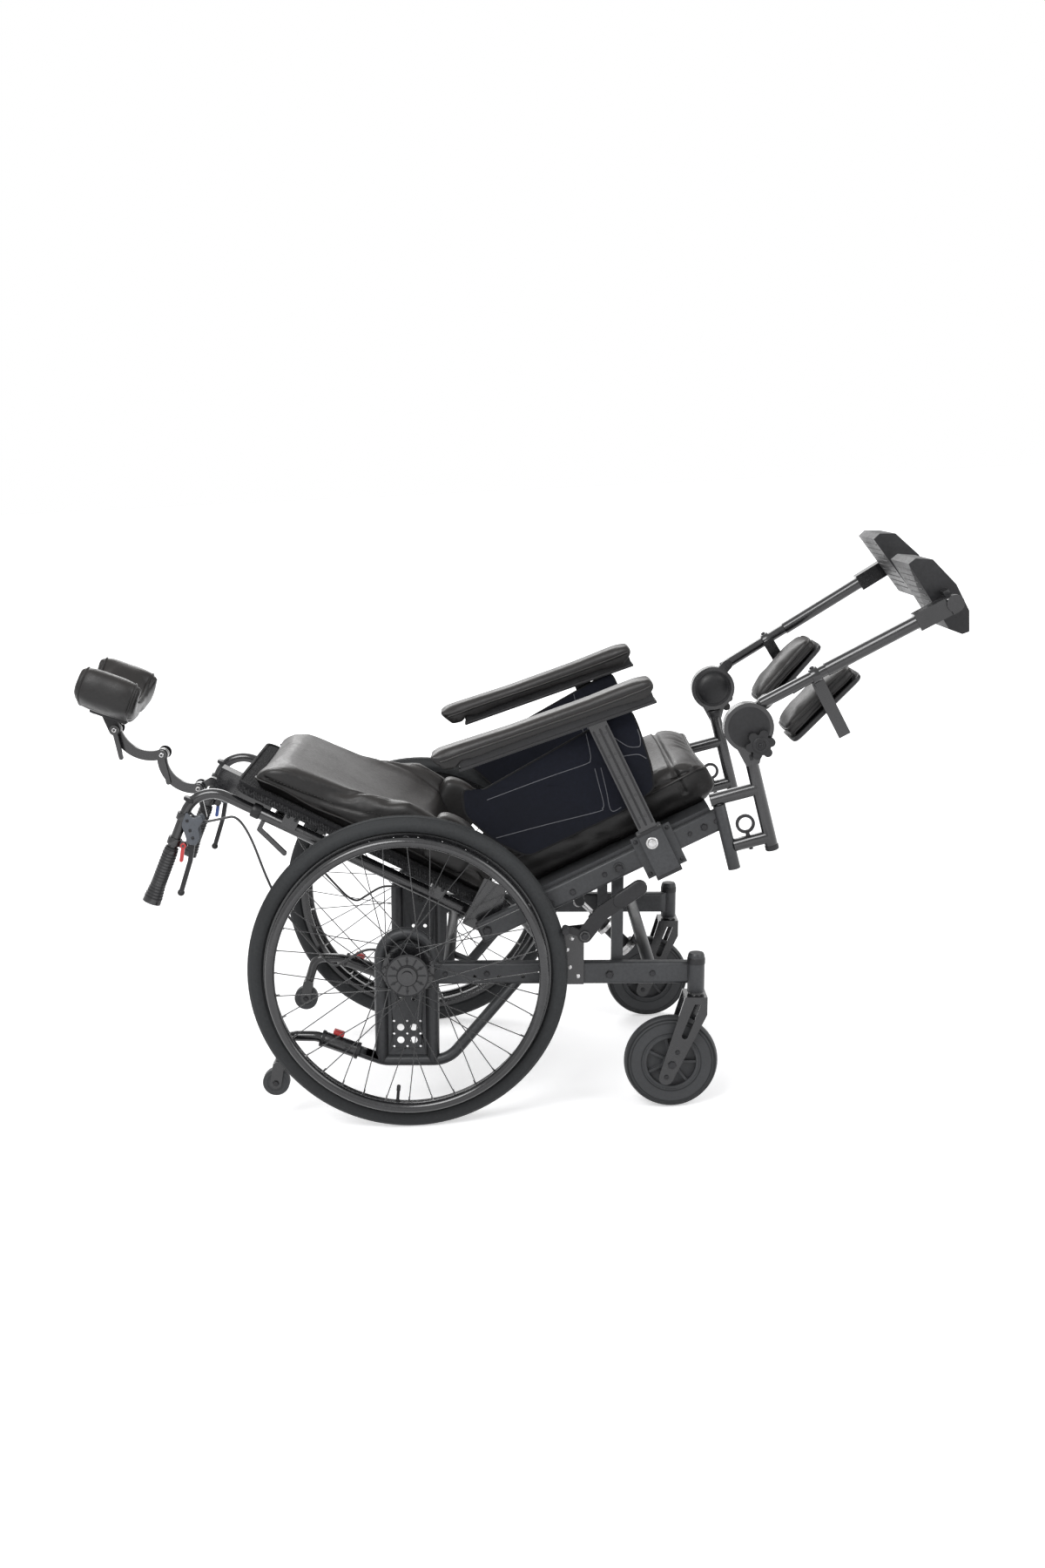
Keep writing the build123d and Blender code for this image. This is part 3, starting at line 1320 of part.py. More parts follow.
def leg_elevating_arm(knee):
    outer = knee_inner + knee_disc
    disc = Circle(knee_radius) - Circle(pivot_pin + running_fit)
    ear = link(((0.0, arm_tube_up * 0.4), (knee_radius + 6.0, arm_tube_up)), 2 * arm_rod)
    plate_part = plate(knee, disc + (ear - Circle(pivot_pin + running_fit)), knee_inner, outer)
    y = -leg_spread
    bar = rod(spot(knee, knee_radius * 0.85, arm_tube_up, y), spot(knee, arm_rod_end, arm_tube_up, y),
              arm_rod)
    arm = plate_part + bar
    arm -= pin(knee, 0, 0, knee_radius + 1.0, outer, outer + knee_disc + 2.0)
    half = calf_clamp_length / 2
    blank = rod(spot(knee, knee_radius, arm_tube_up, y), spot(knee, arm_rod_end, arm_tube_up, y), arm_rod)
    clamp = rod(spot(knee, calf_clamp_at - half, arm_tube_up, y),
                spot(knee, calf_clamp_at + half, arm_tube_up, y),
                arm_rod + clamp_wall) - blank
    strip = box(knee, (calf_clamp_at - calf_bar_width / 2, calf_clamp_at + calf_bar_width / 2),
                (calf_bar_bottom, arm_tube_up), calf_bar_offset, calf_bar_offset + calf_bar_thickness)
    strip -= rod(spot(knee, knee_radius, arm_tube_up, y), spot(knee, arm_rod_end, arm_tube_up, y),
                 arm_rod + clamp_wall)
    bridge = box(knee, (calf_clamp_at - half, calf_clamp_at + half),
                 (arm_tube_up - arm_rod - clamp_wall - 8.0,
                 arm_tube_up - arm_rod), calf_bar_offset, leg_spread) - blank
    strip += bridge - clamp
    strip += pin(knee, calf_clamp_at, calf_pivot_up, small_pin, calf_pad_outer - 6.0, calf_bar_offset)
    return [arm, clamp + strip]


def calf_pad(knee):
    """Padded calf support on its moulded shell."""
    pivot = child(knee, calf_clamp_at, calf_pivot_up, calf_pad_turn)
    half = calf_pad_length / 2
    low = calf_boss - 2.0
    shell = box(pivot, (-half, half - 6.0), (low, low + calf_shell), calf_pad_outer - calf_pad_width,
                calf_pad_outer)
    boss = Circle(calf_boss) + Pos(0, calf_boss / 2) * Rectangle(2 * calf_boss, calf_boss)
    boss -= Circle(small_pin + running_fit)
    shell += plate(pivot, boss, calf_pad_outer - 12.0, calf_bar_offset - side_play)
    sections = []
    middle = calf_pad_outer - calf_pad_width / 2
    floor = low + calf_shell
    for share, inset in ((0.0, 9.0), (0.03, 4.0), (0.08, 1.0), (0.2, 0.0), (0.8, 0.0), (0.92, 1.0),
                         (0.97, 4.0), (1.0, 9.0)):
        edge = floor + calf_pad_thickness - calf_shell - calf_pad_crown - inset
        section = cushion_section(calf_pad_width / 2 - inset / 2, floor, edge, calf_pad_crown, 2.0)
        sections.append(across(pivot, -half + share * calf_pad_length, 0, -middle) * section)
    pad = loft(sections, ruled=True)
    return [shell - pad, pad]


def foot_tube(knee, reach):
    """Foot tube that slides on the elevating arm, with the clamp block and flip hinge at its end."""
    y = -leg_spread
    up = arm_tube_up
    start, end = foot_sleeve_start + reach, foot_sleeve_end + reach
    sleeve = rod(spot(knee, start, up, y), spot(knee, end, up, y), foot_sleeve)
    sleeve -= rod(spot(knee, start - 1.0, up, y), spot(knee, end - 8.0, up, y), arm_rod + running_fit)
    block_end = foot_block_end + reach
    block = box(knee, (end, block_end), (up - foot_block_half, up + foot_block_half), leg_spread -
                foot_block_width / 2, leg_spread + foot_block_width / 2)
    hub_at = foot_hub_at + reach
    barrel = pin(knee, hub_at, up, foot_hub, leg_spread - foot_hub_length / 2,
                 leg_spread + foot_hub_length / 2)
    body = sleeve + block + barrel
    inner = leg_spread - foot_hub_length / 2
    axis_y = -(inner - flip_reach)
    for level in (-flip_rear, flip_rear):
        low, high = up + level - flip_lug / 3, up + level + flip_lug / 3
        body += box(knee, (hub_at - flip_lug / 2, hub_at + flip_lug / 2), (low, high), -axis_y,
                    leg_spread - foot_block_width / 2)
        body += rod(spot(knee, hub_at, low, axis_y), spot(knee, hub_at, high, axis_y), flip_lug / 2)
    body += rod(spot(knee, hub_at, up - flip_rear - 4.0, axis_y), spot(knee, hub_at, up + flip_rear + 4.0, axis_y),
                small_pin)
    return [body]


def footplate(knee, reach):
    """Moulded footplate, open underneath, with the knuckle that turns on the flip pin."""
    hub = child(knee, foot_hub_at + reach, arm_tube_up, 0.0)
    inner = leg_spread - foot_hub_length / 2
    axis_y = -(inner - flip_reach)
    edge = -axis_y - flip_lug / 2 - side_play
    shape = outline(list(sole_outline))
    body = plate(hub, shape, edge - footplate_width, edge)
    (ax, ay), (bx, by) = sole_outline[0], sole_outline[-1]
    hollow = outline([(ax + sole_thickness + 4.0, ay - 2 * footplate_wall - 4.0),
                      (60.0, ay - 2 * footplate_wall - 4.0),
                      (60.0, by - footplate_wall), (bx + sole_thickness, by - footplate_wall)])
    body -= plate(hub, hollow, edge - footplate_width + footplate_wall, edge - footplate_wall)
    gap = flip_rear - 4.0 - side_play
    knuckle = box(hub, (-flip_lug / 2, flip_lug / 2), (-gap, gap), edge - 4.0, -axis_y)
    knuckle += rod(spot(hub, 0, -gap, axis_y), spot(hub, 0, gap, axis_y), flip_lug / 2)
    knuckle -= rod(spot(hub, 0, -gap - 1.0, axis_y), spot(hub, 0, gap + 1.0, axis_y),
                   small_pin + running_fit)
    return [body + knuckle]


# ================================================================ gas springs
def spring_frame(start, end):
    return (*start, degrees(atan2(end[1] - start[1], end[0] - start[0])))


def spring_cylinder(frame, length, y):
    eye = Circle(spring_eye) - Circle(small_pin + running_fit)
    body = rod(spot(frame, spring_neck, 0, y), spot(frame, length, 0, y), spring_radius)
    body += rod(spot(frame, spring_eye - 1.0, 0, y), spot(frame, spring_neck, 0, y), spring_rod)
    body += plate(frame, eye, -y - eye_half, -y + eye_half)
    bore = rod(spot(frame, spring_neck + 5.0, 0, y), spot(frame, length + 1.0, 0, y),
               spring_rod + running_fit)
    return [body - bore]


def spring_rod_piece(frame, span, length, slot, y):
    """Piston rod with its slotted eye, drawn back along the spring from its far pin."""
    bar = rod(spot(frame, span - length, 0, y), spot(frame, span - spring_eye + 1.0, 0, y), spring_rod)
    ends = ((span, 0.0), (span, slot))
    half = eye_half - 4 * eye_play + side_play
    body = bar + plate(frame, link(ends, 2 * spring_eye + 2.0), -y - half, -y + half)
    return [body - plate(frame, link(ends, 2 * (small_pin + eye_play)), -y - 2 * half, -y + 2 * half)]


tilt_far = point(SEAT, *tilt_spring_seat)
TILT_SPRING = spring_frame(tilt_spring_base, tilt_far)
tilt_span = hypot(tilt_far[0] - tilt_spring_base[0], tilt_far[1] - tilt_spring_base[1])
recline_near = point(SEAT, *recline_spring_seat)
recline_far = point(BACK, -recline_spring_back[0], recline_spring_back[1])
RECLINE_SPRING = spring_frame(recline_near, recline_far)
recline_span = hypot(recline_far[0] - recline_near[0], recline_far[1] - recline_near[1])


# ================================================================ brake cables
def brake_cable():
    """Cable from the brake lever's clamp, under the back, to its stop beside the drum."""
    far = GRIP[2] + housing_slope + 90.0
    start = point((*point(GRIP, *cable_exit), far), lever_housing + seat_gap, 0)
    turn = point((*start, far), cable_first_run, 0)
    end = cable_stop[0] - cable_stop_size[0] / 2
    last = cable_corners[-1]
    points = [(start[0], -back_tube_spread, start[1]), (turn[0], -back_tube_spread - 3.0, turn[1])]
    points += [(x, -y, z) for x, z, y in cable_corners] + [(end, -last[2], last[1])]
    cable = bent(points, cable_radius, list(cable_bends))
    length = FilletPolyline(*points, radius=list(cable_bends)).length
    share = cable.volume / (Circle(cable_radius).area * length)
    print("brake cable length", round(length), "volume against section times length", round(share, 4))
    return cable


# ================================================================ the whole chair
nodes = {
    "base_frame": base_frame(),
    "axle_plates": axle_plates(),
    "brake_brackets": both_sides([brake_bracket()]),
    "antitip_sockets": both_sides(antitip_socket()),
    "brake_cables": both_sides([brake_cable()]),
    "seat_frame": seat_frame(),
    "seat_cushion": seat_cushion(),
    "back_frame": back_frame(),
    "back_shell": back_shell(),
    "back_cushion": back_cushion(),
    "headrest_post": headrest_post(),
    "headrest_lower_link": headrest_lower_link(),
    "headrest_upper_link": headrest_upper_link(),
    "headrest_pad": headrest_pad(),
    "tilt_spring_cylinder": spring_cylinder(TILT_SPRING, tilt_cylinder_length, tilt_spring_y),
    "tilt_spring_rod": spring_rod_piece(TILT_SPRING, tilt_span, tilt_rod_length, tilt_eye_slot,
                                        tilt_spring_y),
    "recline_spring_cylinder": spring_cylinder(RECLINE_SPRING, recline_cylinder_length, recline_spring_y),
    "recline_spring_rod": spring_rod_piece(RECLINE_SPRING, recline_span, recline_rod_length,
                                           recline_eye_slot,
                                           recline_spring_y),
}

side_nodes = {
    "tyre": tyre(),
    "spoked_wheel": spoked_wheel(),
    "handrim": handrim(),
    "caster_fork": caster_fork(),
    "caster_wheel": caster_wheel(),
    "antitip_arm": antitip_arm(),
    "antitip_wheel": antitip_wheel(),
    "parking_brake_lever": [parking_brake_lever()],
    "push_handle": push_handle(),
    "brake_lever": brake_lever(),
    "trigger": trigger(),
    "armrest_upright": armrest_upright(),
    "armrest_pad": armrest_pad(),
    "side_panel": side_panel(),
    "leg_hanger": leg_hanger(),
    "leg_knob": leg_knob(),
    "pull_pin": pull_pin(),
}
for name, pieces in side_nodes.items():
    nodes["right_" + name] = pieces
    nodes["left_" + name] = mirrored(pieces)

for hand in ("right", "left"):
    knee = knee_frame(rest_lift[hand])
    reach = rest_reach[hand]
    leg = {
        "leg_elevating_arm": leg_elevating_arm(knee),
        "calf_pad": calf_pad(knee),
        "foot_tube": foot_tube(knee, reach),
        "footplate": footplate(knee, reach),
    }
    for name, pieces in leg.items():
        nodes[hand + "_" + name] = pieces if hand == "right" else mirrored(pieces)

# The chair leans forward about its rear axle until the casters meet the floor, and its origin
# is then put on the floor, in the middle of the space it takes up.
drop = wheel_radius - caster_radius
axle_rise = wheel_radius - caster_z
stance = degrees(asin(drop / hypot(caster_x, axle_rise)) - atan2(axle_rise, caster_x))
lean = Location((0, 0, wheel_radius)) * Location((0, 0, 0), (0, stance, 0)) * Location((0, 0, -wheel_radius))
standing = {}
for name, pieces in nodes.items():
    solids = [solid for piece in pieces for solid in piece.solids()]
    standing[name] = [lean * solid for solid in solids]
room = Compound([solid for solids in standing.values() for solid in solids]).bounding_box()
origin = ((room.min.X + room.max.X) / 2, (room.min.Y + room.max.Y) / 2, room.min.Z)
place = Location((-origin[0], -origin[1], -origin[2]))

os.makedirs("parts", exist_ok=True)
for name, solids in standing.items():
    export_step(Compound([place * solid for solid in solids]), "parts/" + name + ".step")
print(len(nodes), "nodes; room", [round(size, 1) for size in room.size], "lean", round(stance, 2))
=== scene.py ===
import json
from math import atan2, cos, exp, hypot, pi, radians, sin

import bmesh
import bpy
from mathutils import Matrix, Vector, noise
from mathutils.bvhtree import BVHTree


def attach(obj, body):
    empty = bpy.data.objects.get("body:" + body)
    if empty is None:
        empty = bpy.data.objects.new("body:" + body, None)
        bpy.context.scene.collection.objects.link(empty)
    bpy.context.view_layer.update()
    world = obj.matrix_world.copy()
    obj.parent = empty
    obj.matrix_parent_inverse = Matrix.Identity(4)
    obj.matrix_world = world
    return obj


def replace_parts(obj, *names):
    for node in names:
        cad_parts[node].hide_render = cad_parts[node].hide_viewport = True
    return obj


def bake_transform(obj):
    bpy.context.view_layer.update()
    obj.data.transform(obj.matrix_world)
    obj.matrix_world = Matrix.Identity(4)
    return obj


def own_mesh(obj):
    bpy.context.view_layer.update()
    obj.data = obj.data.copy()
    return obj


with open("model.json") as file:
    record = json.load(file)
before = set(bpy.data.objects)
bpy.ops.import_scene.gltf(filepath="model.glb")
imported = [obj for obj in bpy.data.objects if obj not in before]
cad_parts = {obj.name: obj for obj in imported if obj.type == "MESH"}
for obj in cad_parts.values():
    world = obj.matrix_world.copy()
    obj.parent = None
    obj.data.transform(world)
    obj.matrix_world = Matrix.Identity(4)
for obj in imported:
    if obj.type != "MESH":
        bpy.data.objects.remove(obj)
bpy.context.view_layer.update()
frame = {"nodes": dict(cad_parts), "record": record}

bl_info = {
    "name": "Tilt in space wheelchair",
    "version": (1, 0, 0),
    "blender": (4, 5, 0),
    "location": "3D View > Sidebar > Wheelchair",
    "description": "Upholstery, tyres, fittings and finishes of a tilt in space wheelchair",
    "category": "Object",
}

# ---------------------------------------------------------------- places on the chair, in millimetres
STANCE = radians(2.734988)
AXLE_HEIGHT = 305.0
ORIGIN_X = 224.21566
CHAIR_TO_ROW = (Matrix.Scale(0.001, 4) @ Matrix.Translation((-ORIGIN_X, 0, 0))
                @ Matrix.Translation((0, 0, AXLE_HEIGHT)) @ Matrix.Rotation(STANCE, 4, "Y")
                @ Matrix.Translation((0, 0, -AXLE_HEIGHT)))
HANDS = {"right": -1.0, "left": 1.0}


def point(side, along, up):
    """X and Z of a place in a side frame, which is an origin's x and z and a pitch in degrees."""
    x, z, pitch = side
    c, s = cos(radians(pitch)), sin(radians(pitch))
    return (x + along * c - up * s, z + along * s + up * c)


def child(side, along, up, turn):
    return (*point(side, along, up), side[2] + turn)


OUTWARD, INWARD, UPWARD, UNDER, FOREWARD = (0, 0, 1), (0, 0, -1), (0, 1, 0), (0, -1, 0), (1, 0, 0)
CHAIR = (0.0, 0.0, 0.0)
AXLE = (0.0, AXLE_HEIGHT, 0.0)
SEAT = (403.0, 498.5, 26.0)
BACK = child(SEAT, -280.0, 0.0, 127.8 - 180.0)
GRIP = child(BACK, -625.3, 0.0, 94.3 - 180.0)
ARM = child(SEAT, 83.0, 277.0, -6.5)
SWING = child(SEAT, 223.5, 26.3, -11.55)
HEAD = (*point(BACK, -833.5, -20.3), -20.0)
TIPPER = (-117.0, 138.0, -20.46227)
FORK = (507.5, 115.3, 67.2)
KNEE = {hand: (*point(SWING, 88.0, 132.5), lift) for hand, lift in (("right", 28.0), ("left", 32.0))}


def drawn_in(side, hand=-1.0):
    """Matrix from a side frame's along, up and distance from the middle plane to the row frame."""
    x, z, pitch = side
    c, s = cos(radians(pitch)), sin(radians(pitch))
    local = Matrix(((c, -s, 0, x), (0, 0, hand, 0), (s, c, 0, z), (0, 0, 0, 1)))
    return CHAIR_TO_ROW @ local


# ---------------------------------------------------------------- mesh drawing
class Form:
    """Points and faces of a piece, drawn in a side frame's millimetres and kept in metres."""

    def __init__(self, side=CHAIR, hand=-1.0):
        self.points, self.faces = [], []
        self.matrix = drawn_in(side, hand)

    def add(self, points, faces):
        start = len(self.points)
        flip = self.matrix.determinant() < 0
        self.points += [self.matrix @ Vector(p) for p in points]
        for face in faces:
            numbers = [start + i for i in face]
            self.faces.append(numbers[::-1] if flip else numbers)

    def loft(self, rings, closed=False):
        """Skin over rings of equally many points, each counter-clockwise seen from the last ring."""
        count = len(rings[0])
        faces = []
        for row in range(len(rings) if closed else len(rings) - 1):
            a, b = row * count, (row + 1) % len(rings) * count
            faces += [(a + i, a + (i + 1) % count, b + (i + 1) % count, b + i) for i in range(count)]
        if not closed:
            last = (len(rings) - 1) * count
            faces += [tuple(range(count))[::-1], tuple(range(last, last + count))]
        self.add([p for ring in rings for p in ring], faces)

    def tube(self, path, radius, sides=10, closed=False):
        """Round bar along a path, with one radius or one for each point."""
        path = [Vector(p) for p in path]
        radii = radius if isinstance(radius, (list, tuple)) else [radius] * len(path)
        count = len(path)
        ways = []
        for i in range(count):
            before = path[i - 1] if closed or i else path[i]
            after = path[(i + 1) % count] if closed or i < count - 1 else path[i]
            ways.append((after - before).normalized())
        u = ways[0].orthogonal().normalized()
        rings = []
        for p, way, r in zip(path, ways, radii):
            u = (u - way * u.dot(way)).normalized()
            v = way.cross(u)
            turns = (2 * pi * k / sides for k in range(sides))
            rings.append([p + (u * cos(a) + v * sin(a)) * r for a in turns])
        self.loft(rings, closed)

    def lathe(self, centre, axis, profile, sides=32, closed=False):
        """Turned piece: profile is (height along the axis, radius), from the low end to the high one."""
        axis = Vector(axis).normalized()
        u = axis.orthogonal().normalized()
        v = axis.cross(u)
        centre = Vector(centre)
        turns = [2 * pi * k / sides for k in range(sides)]
        rings = [[centre + axis * h + (u * cos(a) + v * sin(a)) * max(r, 0.02) for a in turns]
                 for h, r in profile]
        self.loft(rings, closed)

    def slab(self, outline, low, high, edge=1.0):
        """Plate between two distances from the middle plane, with rounded edges."""
        steps = ((edge, 0.0), (0.3 * edge, 0.3 * edge), (0.0, edge))
        levels = [(inset, low + rise) for inset, rise in steps]
        levels += [(inset, high - rise) for inset, rise in reversed(steps)]
        self.loft([[(x, y, out) for x, y in shrunk(outline, inset)] for inset, out in levels])


def shrunk(outline, inset):
    """An outline drawn counter-clockwise, with each side moved inward."""
    result = []
    for i, (x, y) in enumerate(outline):
        ax, ay = outline[i - 1]
        bx, by = outline[(i + 1) % len(outline)]
        ua, ub = Vector((x - ax, y - ay)).normalized(), Vector((bx - x, by - y)).normalized()
        na, nb = Vector((-ua.y, ua.x)), Vector((-ub.y, ub.x))
        way = na + nb
        share = max(way.length_squared / 2.0, 0.6)
        result.append((x + way.x * inset / share, y + way.y * inset / share))
    return result


def rounded(corners, radius, steps=5):
    """A counter-clockwise outline with its corners rounded."""
    result = []
    count = len(corners)
    for i in range(count):
        p = Vector(corners[i])
        a, b = Vector(corners[i - 1]) - p, Vector(corners[(i + 1) % count]) - p
        reach = min(radius, a.length * 0.48, b.length * 0.48)
        start, end = p + a.normalized() * reach, p + b.normalized() * reach
        for k in range(steps + 1):
            t = k / steps
            q = start * (1 - t) ** 2 + p * 2 * t * (1 - t) + end * t * t
            result.append((q.x, q.y))
    return result


def rectangle(low, high, radius, steps=4):
    (x0, y0), (x1, y1) = low, high
    return rounded([(x0, y0), (x1, y0), (x1, y1), (x0, y1)], radius, steps)


def bar(start, end, width, steps=6):
    """Outline of a flat bar with round ends."""
    turn = atan2(end[1] - start[1], end[0] - start[0])
    result = []
    for (x, y), base in ((end, turn - pi / 2), (start, turn + pi / 2)):
        for k in range(steps + 1):
            a = base + pi * k / steps
            result.append((x + width / 2 * cos(a), y + width / 2 * sin(a)))
    return result


def smooth_path(points, steps=8, closed=False):
    """Points of a smooth curve through a few places."""
    points = [Vector(p) for p in points]
    count = len(points)
    result = []
    for i in range(count if closed else count - 1):
        if closed:
            a, b, c, d = (points[(i + k) % count] for k in (-1, 0, 1, 2))
        else:
            a, b, c, d = points[max(i - 1, 0)], points[i], points[i + 1], points[min(i + 2, count - 1)]
        for k in range(steps):
            t = k / steps
            result.append(0.5 * (2 * b + (c - a) * t + (2 * a - 5 * b + 4 * c - d) * t * t
                                 + (3 * b - a - 3 * c + d) * t ** 3))
    return result if closed else result + [points[-1]]


def row_form():
    """A form drawn in the row frame's metres."""
    form = Form()
    form.matrix = Matrix.Identity(4)
    return form


def new_mesh(name, points, faces=(), edges=()):
    mesh = bpy.data.meshes.new(name)
    mesh.from_pydata(points, edges, faces)
    return mesh


def new_object(name, data):
    thing = bpy.data.objects.new(name, data)
    bpy.context.scene.collection.objects.link(thing)
    return thing


def finish_mesh(mesh, look, smooth=38.0):
    """Gives a mesh its finish and smooth shading, with edges sharper than an angle left sharp."""
    mesh.materials.clear()
    mesh.materials.append(FINISHES[look])
    mesh.validate()
    mesh.shade_smooth()
    mesh.set_sharp_from_angle(angle=radians(smooth))
    mesh.update()


def piece(name, form, look, body, smooth=38.0):
    """Makes a drawn form an object that rides on a body."""
    mesh = new_mesh(name, form.points, form.faces)
    finish_mesh(mesh, look, smooth)
    return put_on(name, mesh, body)


def put_on(name, mesh, body):
    thing = new_object(name, mesh)
    if body:
        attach(thing, body)
    return thing


def islands(node):
    """A CAD node's mesh, merged and split into its separate solids, largest box first."""
    work = bmesh.new()
    work.from_mesh(frame["nodes"][node].data)
    bmesh.ops.remove_doubles(work, verts=work.verts, dist=2e-5)
    work.verts.index_update()
    left = set(work.verts)
    groups = []
    for seed in list(work.verts):
        if seed not in left:
            continue
        group, queue = {seed}, [seed]
        while queue:
            vert = queue.pop()
            for edge in vert.link_edges:
                other = edge.other_vert(vert)
                if other not in group:
                    group.add(other)
                    queue.append(other)
        left -= group
        groups.append(group)
    meshes = []
    for group in groups:
        order = {vert: i for i, vert in enumerate(sorted(group, key=lambda v: v.index))}
        faces = [[order[v] for v in face.verts] for face in work.faces if face.verts[0] in group]
        meshes.append(new_mesh(node, [v.co.copy() for v in order], faces))
    work.free()

    def bulk(mesh):
        sizes = [max(v.co[k] for v in mesh.vertices) - min(v.co[k] for v in mesh.vertices)
                 for k in range(3)]
        return sizes[0] * sizes[1] * sizes[2]
    return sorted(meshes, key=bulk, reverse=True)


# ---------------------------------------------------------------- repeated pieces, by geometry nodes
def new_tree(name, sockets):
    tree = bpy.data.node_groups.new(name, "GeometryNodeTree")
    for label, kind, value in sockets:
        socket = tree.interface.new_socket(name=label, in_out="INPUT", socket_type=kind)
        if value is not None:
            socket.default_value = value
    tree.interface.new_socket(name="Geometry", in_out="OUTPUT", socket_type="NodeSocketGeometry")
    return tree, tree.nodes.new("NodeGroupInput"), tree.nodes.new("NodeGroupOutput")


def add_node(tree, kind, inputs=None, **settings):
    node = tree.nodes.new(kind)
    for key, value in settings.items():
        setattr(node, key, value)
    for key, value in (inputs or {}).items():
        if isinstance(value, bpy.types.NodeSocket):
            tree.links.new(value, node.inputs[key])
        else:
            node.inputs[key].default_value = value
    return node


def end_tree(tree, start, end, instances):
    realized = add_node(tree, "GeometryNodeRealizeInstances", {"Geometry": instances})
    dressed = add_node(tree, "GeometryNodeSetMaterial", {"Geometry": realized.outputs[0],
                                                         "Material": start.outputs["Finish"]})
    tree.links.new(dressed.outputs[0], end.inputs[0])
    return tree


def places_tree():
    """One piece at each point, turned to face the point's way and scaled to its size."""
    tree, start, end = new_tree("Pieces on places", [
        ("Geometry", "NodeSocketGeometry", None), ("Piece", "NodeSocketObject", None),
        ("Size factor", "NodeSocketFloat", 1.0), ("Finish", "NodeSocketMaterial", None)])
    facing = add_node(tree, "GeometryNodeInputNamedAttribute", {"Name": "facing"}, data_type="FLOAT_VECTOR")
    size = add_node(tree, "GeometryNodeInputNamedAttribute", {"Name": "size"}, data_type="FLOAT")
    scale = add_node(tree, "ShaderNodeMath", {0: size.outputs[0], 1: start.outputs["Size factor"]},
                     operation="MULTIPLY")
    turn = add_node(tree, "FunctionNodeAlignRotationToVector", {"Vector": facing.outputs[0]}, axis="Z")
    shape = add_node(tree, "GeometryNodeObjectInfo", {"Object": start.outputs["Piece"]})
    copies = add_node(tree, "GeometryNodeInstanceOnPoints", {
        "Points": start.outputs["Geometry"], "Instance": shape.outputs["Geometry"],
        "Rotation": turn.outputs[0], "Scale": scale.outputs[0]})
    return end_tree(tree, start, end, copies.outputs[0])


def ring_tree():
    """Pieces round an axle, each facing outward from it."""
    tree, start, end = new_tree("Pieces round an axle", [
        ("Geometry", "NodeSocketGeometry", None), ("Piece", "NodeSocketObject", None),
        ("Count", "NodeSocketInt", 36), ("Radius", "NodeSocketFloat", 0.27),
        ("Size factor", "NodeSocketFloat", 1.0), ("Finish", "NodeSocketMaterial", None)])
    ring = add_node(tree, "GeometryNodeMeshCircle", {"Vertices": start.outputs["Count"],
                                                     "Radius": start.outputs["Radius"]})
    place = add_node(tree, "GeometryNodeInputPosition")
    turn = add_node(tree, "FunctionNodeAlignRotationToVector", {"Vector": place.outputs[0]}, axis="Z")
    shape = add_node(tree, "GeometryNodeObjectInfo", {"Object": start.outputs["Piece"]})
    copies = add_node(tree, "GeometryNodeInstanceOnPoints", {
        "Points": ring.outputs[0], "Instance": shape.outputs["Geometry"], "Rotation": turn.outputs[0],
        "Scale": start.outputs["Size factor"]})
    return end_tree(tree, start, end, copies.outputs[0])


def stitch_tree():
    """Stitches at even steps along a line, lying along it."""
    tree, start, end = new_tree("Stitches along a seam", [
        ("Geometry", "NodeSocketGeometry", None), ("Piece", "NodeSocketObject", None),
        ("Step", "NodeSocketFloat", 0.006), ("Size factor", "NodeSocketFloat", 0.001),
        ("Finish", "NodeSocketMaterial", None)])
    line = add_node(tree, "GeometryNodeMeshToCurve", {"Mesh": start.outputs["Geometry"]})
    even = add_node(tree, "GeometryNodeCurveToPoints",
                    {"Curve": line.outputs[0], "Length": start.outputs["Step"]}, mode="LENGTH")
    turn = add_node(tree, "FunctionNodeAlignRotationToVector", {"Vector": even.outputs["Tangent"]},
                    axis="Z")
    shape = add_node(tree, "GeometryNodeObjectInfo", {"Object": start.outputs["Piece"]})
    copies = add_node(tree, "GeometryNodeInstanceOnPoints", {
        "Points": even.outputs[0], "Instance": shape.outputs["Geometry"], "Rotation": turn.outputs[0],
        "Scale": start.outputs["Size factor"]})
    return end_tree(tree, start, end, copies.outputs[0])


TREES = {}


def repeated(name, kind, base, template, look, **inputs):
    """Runs a tree on a mesh with a small template form and keeps the result as a plain mesh."""
    makers = {"places": places_tree, "ring": ring_tree, "stitches": stitch_tree}
    if kind not in TREES:
        TREES[kind] = makers[kind]()
    tree = TREES[kind]
    shape = new_object(name + "_template", new_mesh(name + "_template", template.points, template.faces))
    host = new_object(name + "_host", base)
    modifier = host.modifiers.new("Repeat", "NODES")
    modifier.node_group = tree
    sockets = {item.name: item.identifier for item in tree.interface.items_tree if item.in_out == "INPUT"}
    for label, value in {"Piece": shape, "Finish": FINISHES[look], **inputs}.items():
        modifier[sockets[label]] = value
    mesh = evaluated_mesh(host, name)
    for thing in (host, shape):
        bpy.data.objects.remove(thing)
    return mesh


def template(profile, sides=12, centre=(0, 0, 0)):
    """Small turned form about Z, in units that a place's size scales."""
    form = row_form()
    form.lathe(centre, (0, 0, 1), profile, sides)
    return form


HEX_HEAD = ((-0.3, 1.25), (0.12, 1.25), (0.16, 1.2), (0.161, 0.98), (0.6, 0.98), (0.7, 0.86), (0.701, 0.02))
SOCKET_HEAD = ((-0.3, 1.0), (0.25, 1.0), (0.5, 0.9), (0.62, 0.7), (0.62, 0.5), (0.2, 0.44), (0.2, 0.02))
RIVET = ((-0.3, 1.0), (0.1, 1.0), (0.28, 0.8), (0.34, 0.4), (0.35, 0.02))
STITCH_SIZE = 0.0012
EYELET = ((-0.2, 1.3), (0.16, 1.3), (0.2, 1.2), (0.2, 0.95), (0.05, 0.9), (0.05, 0.02))


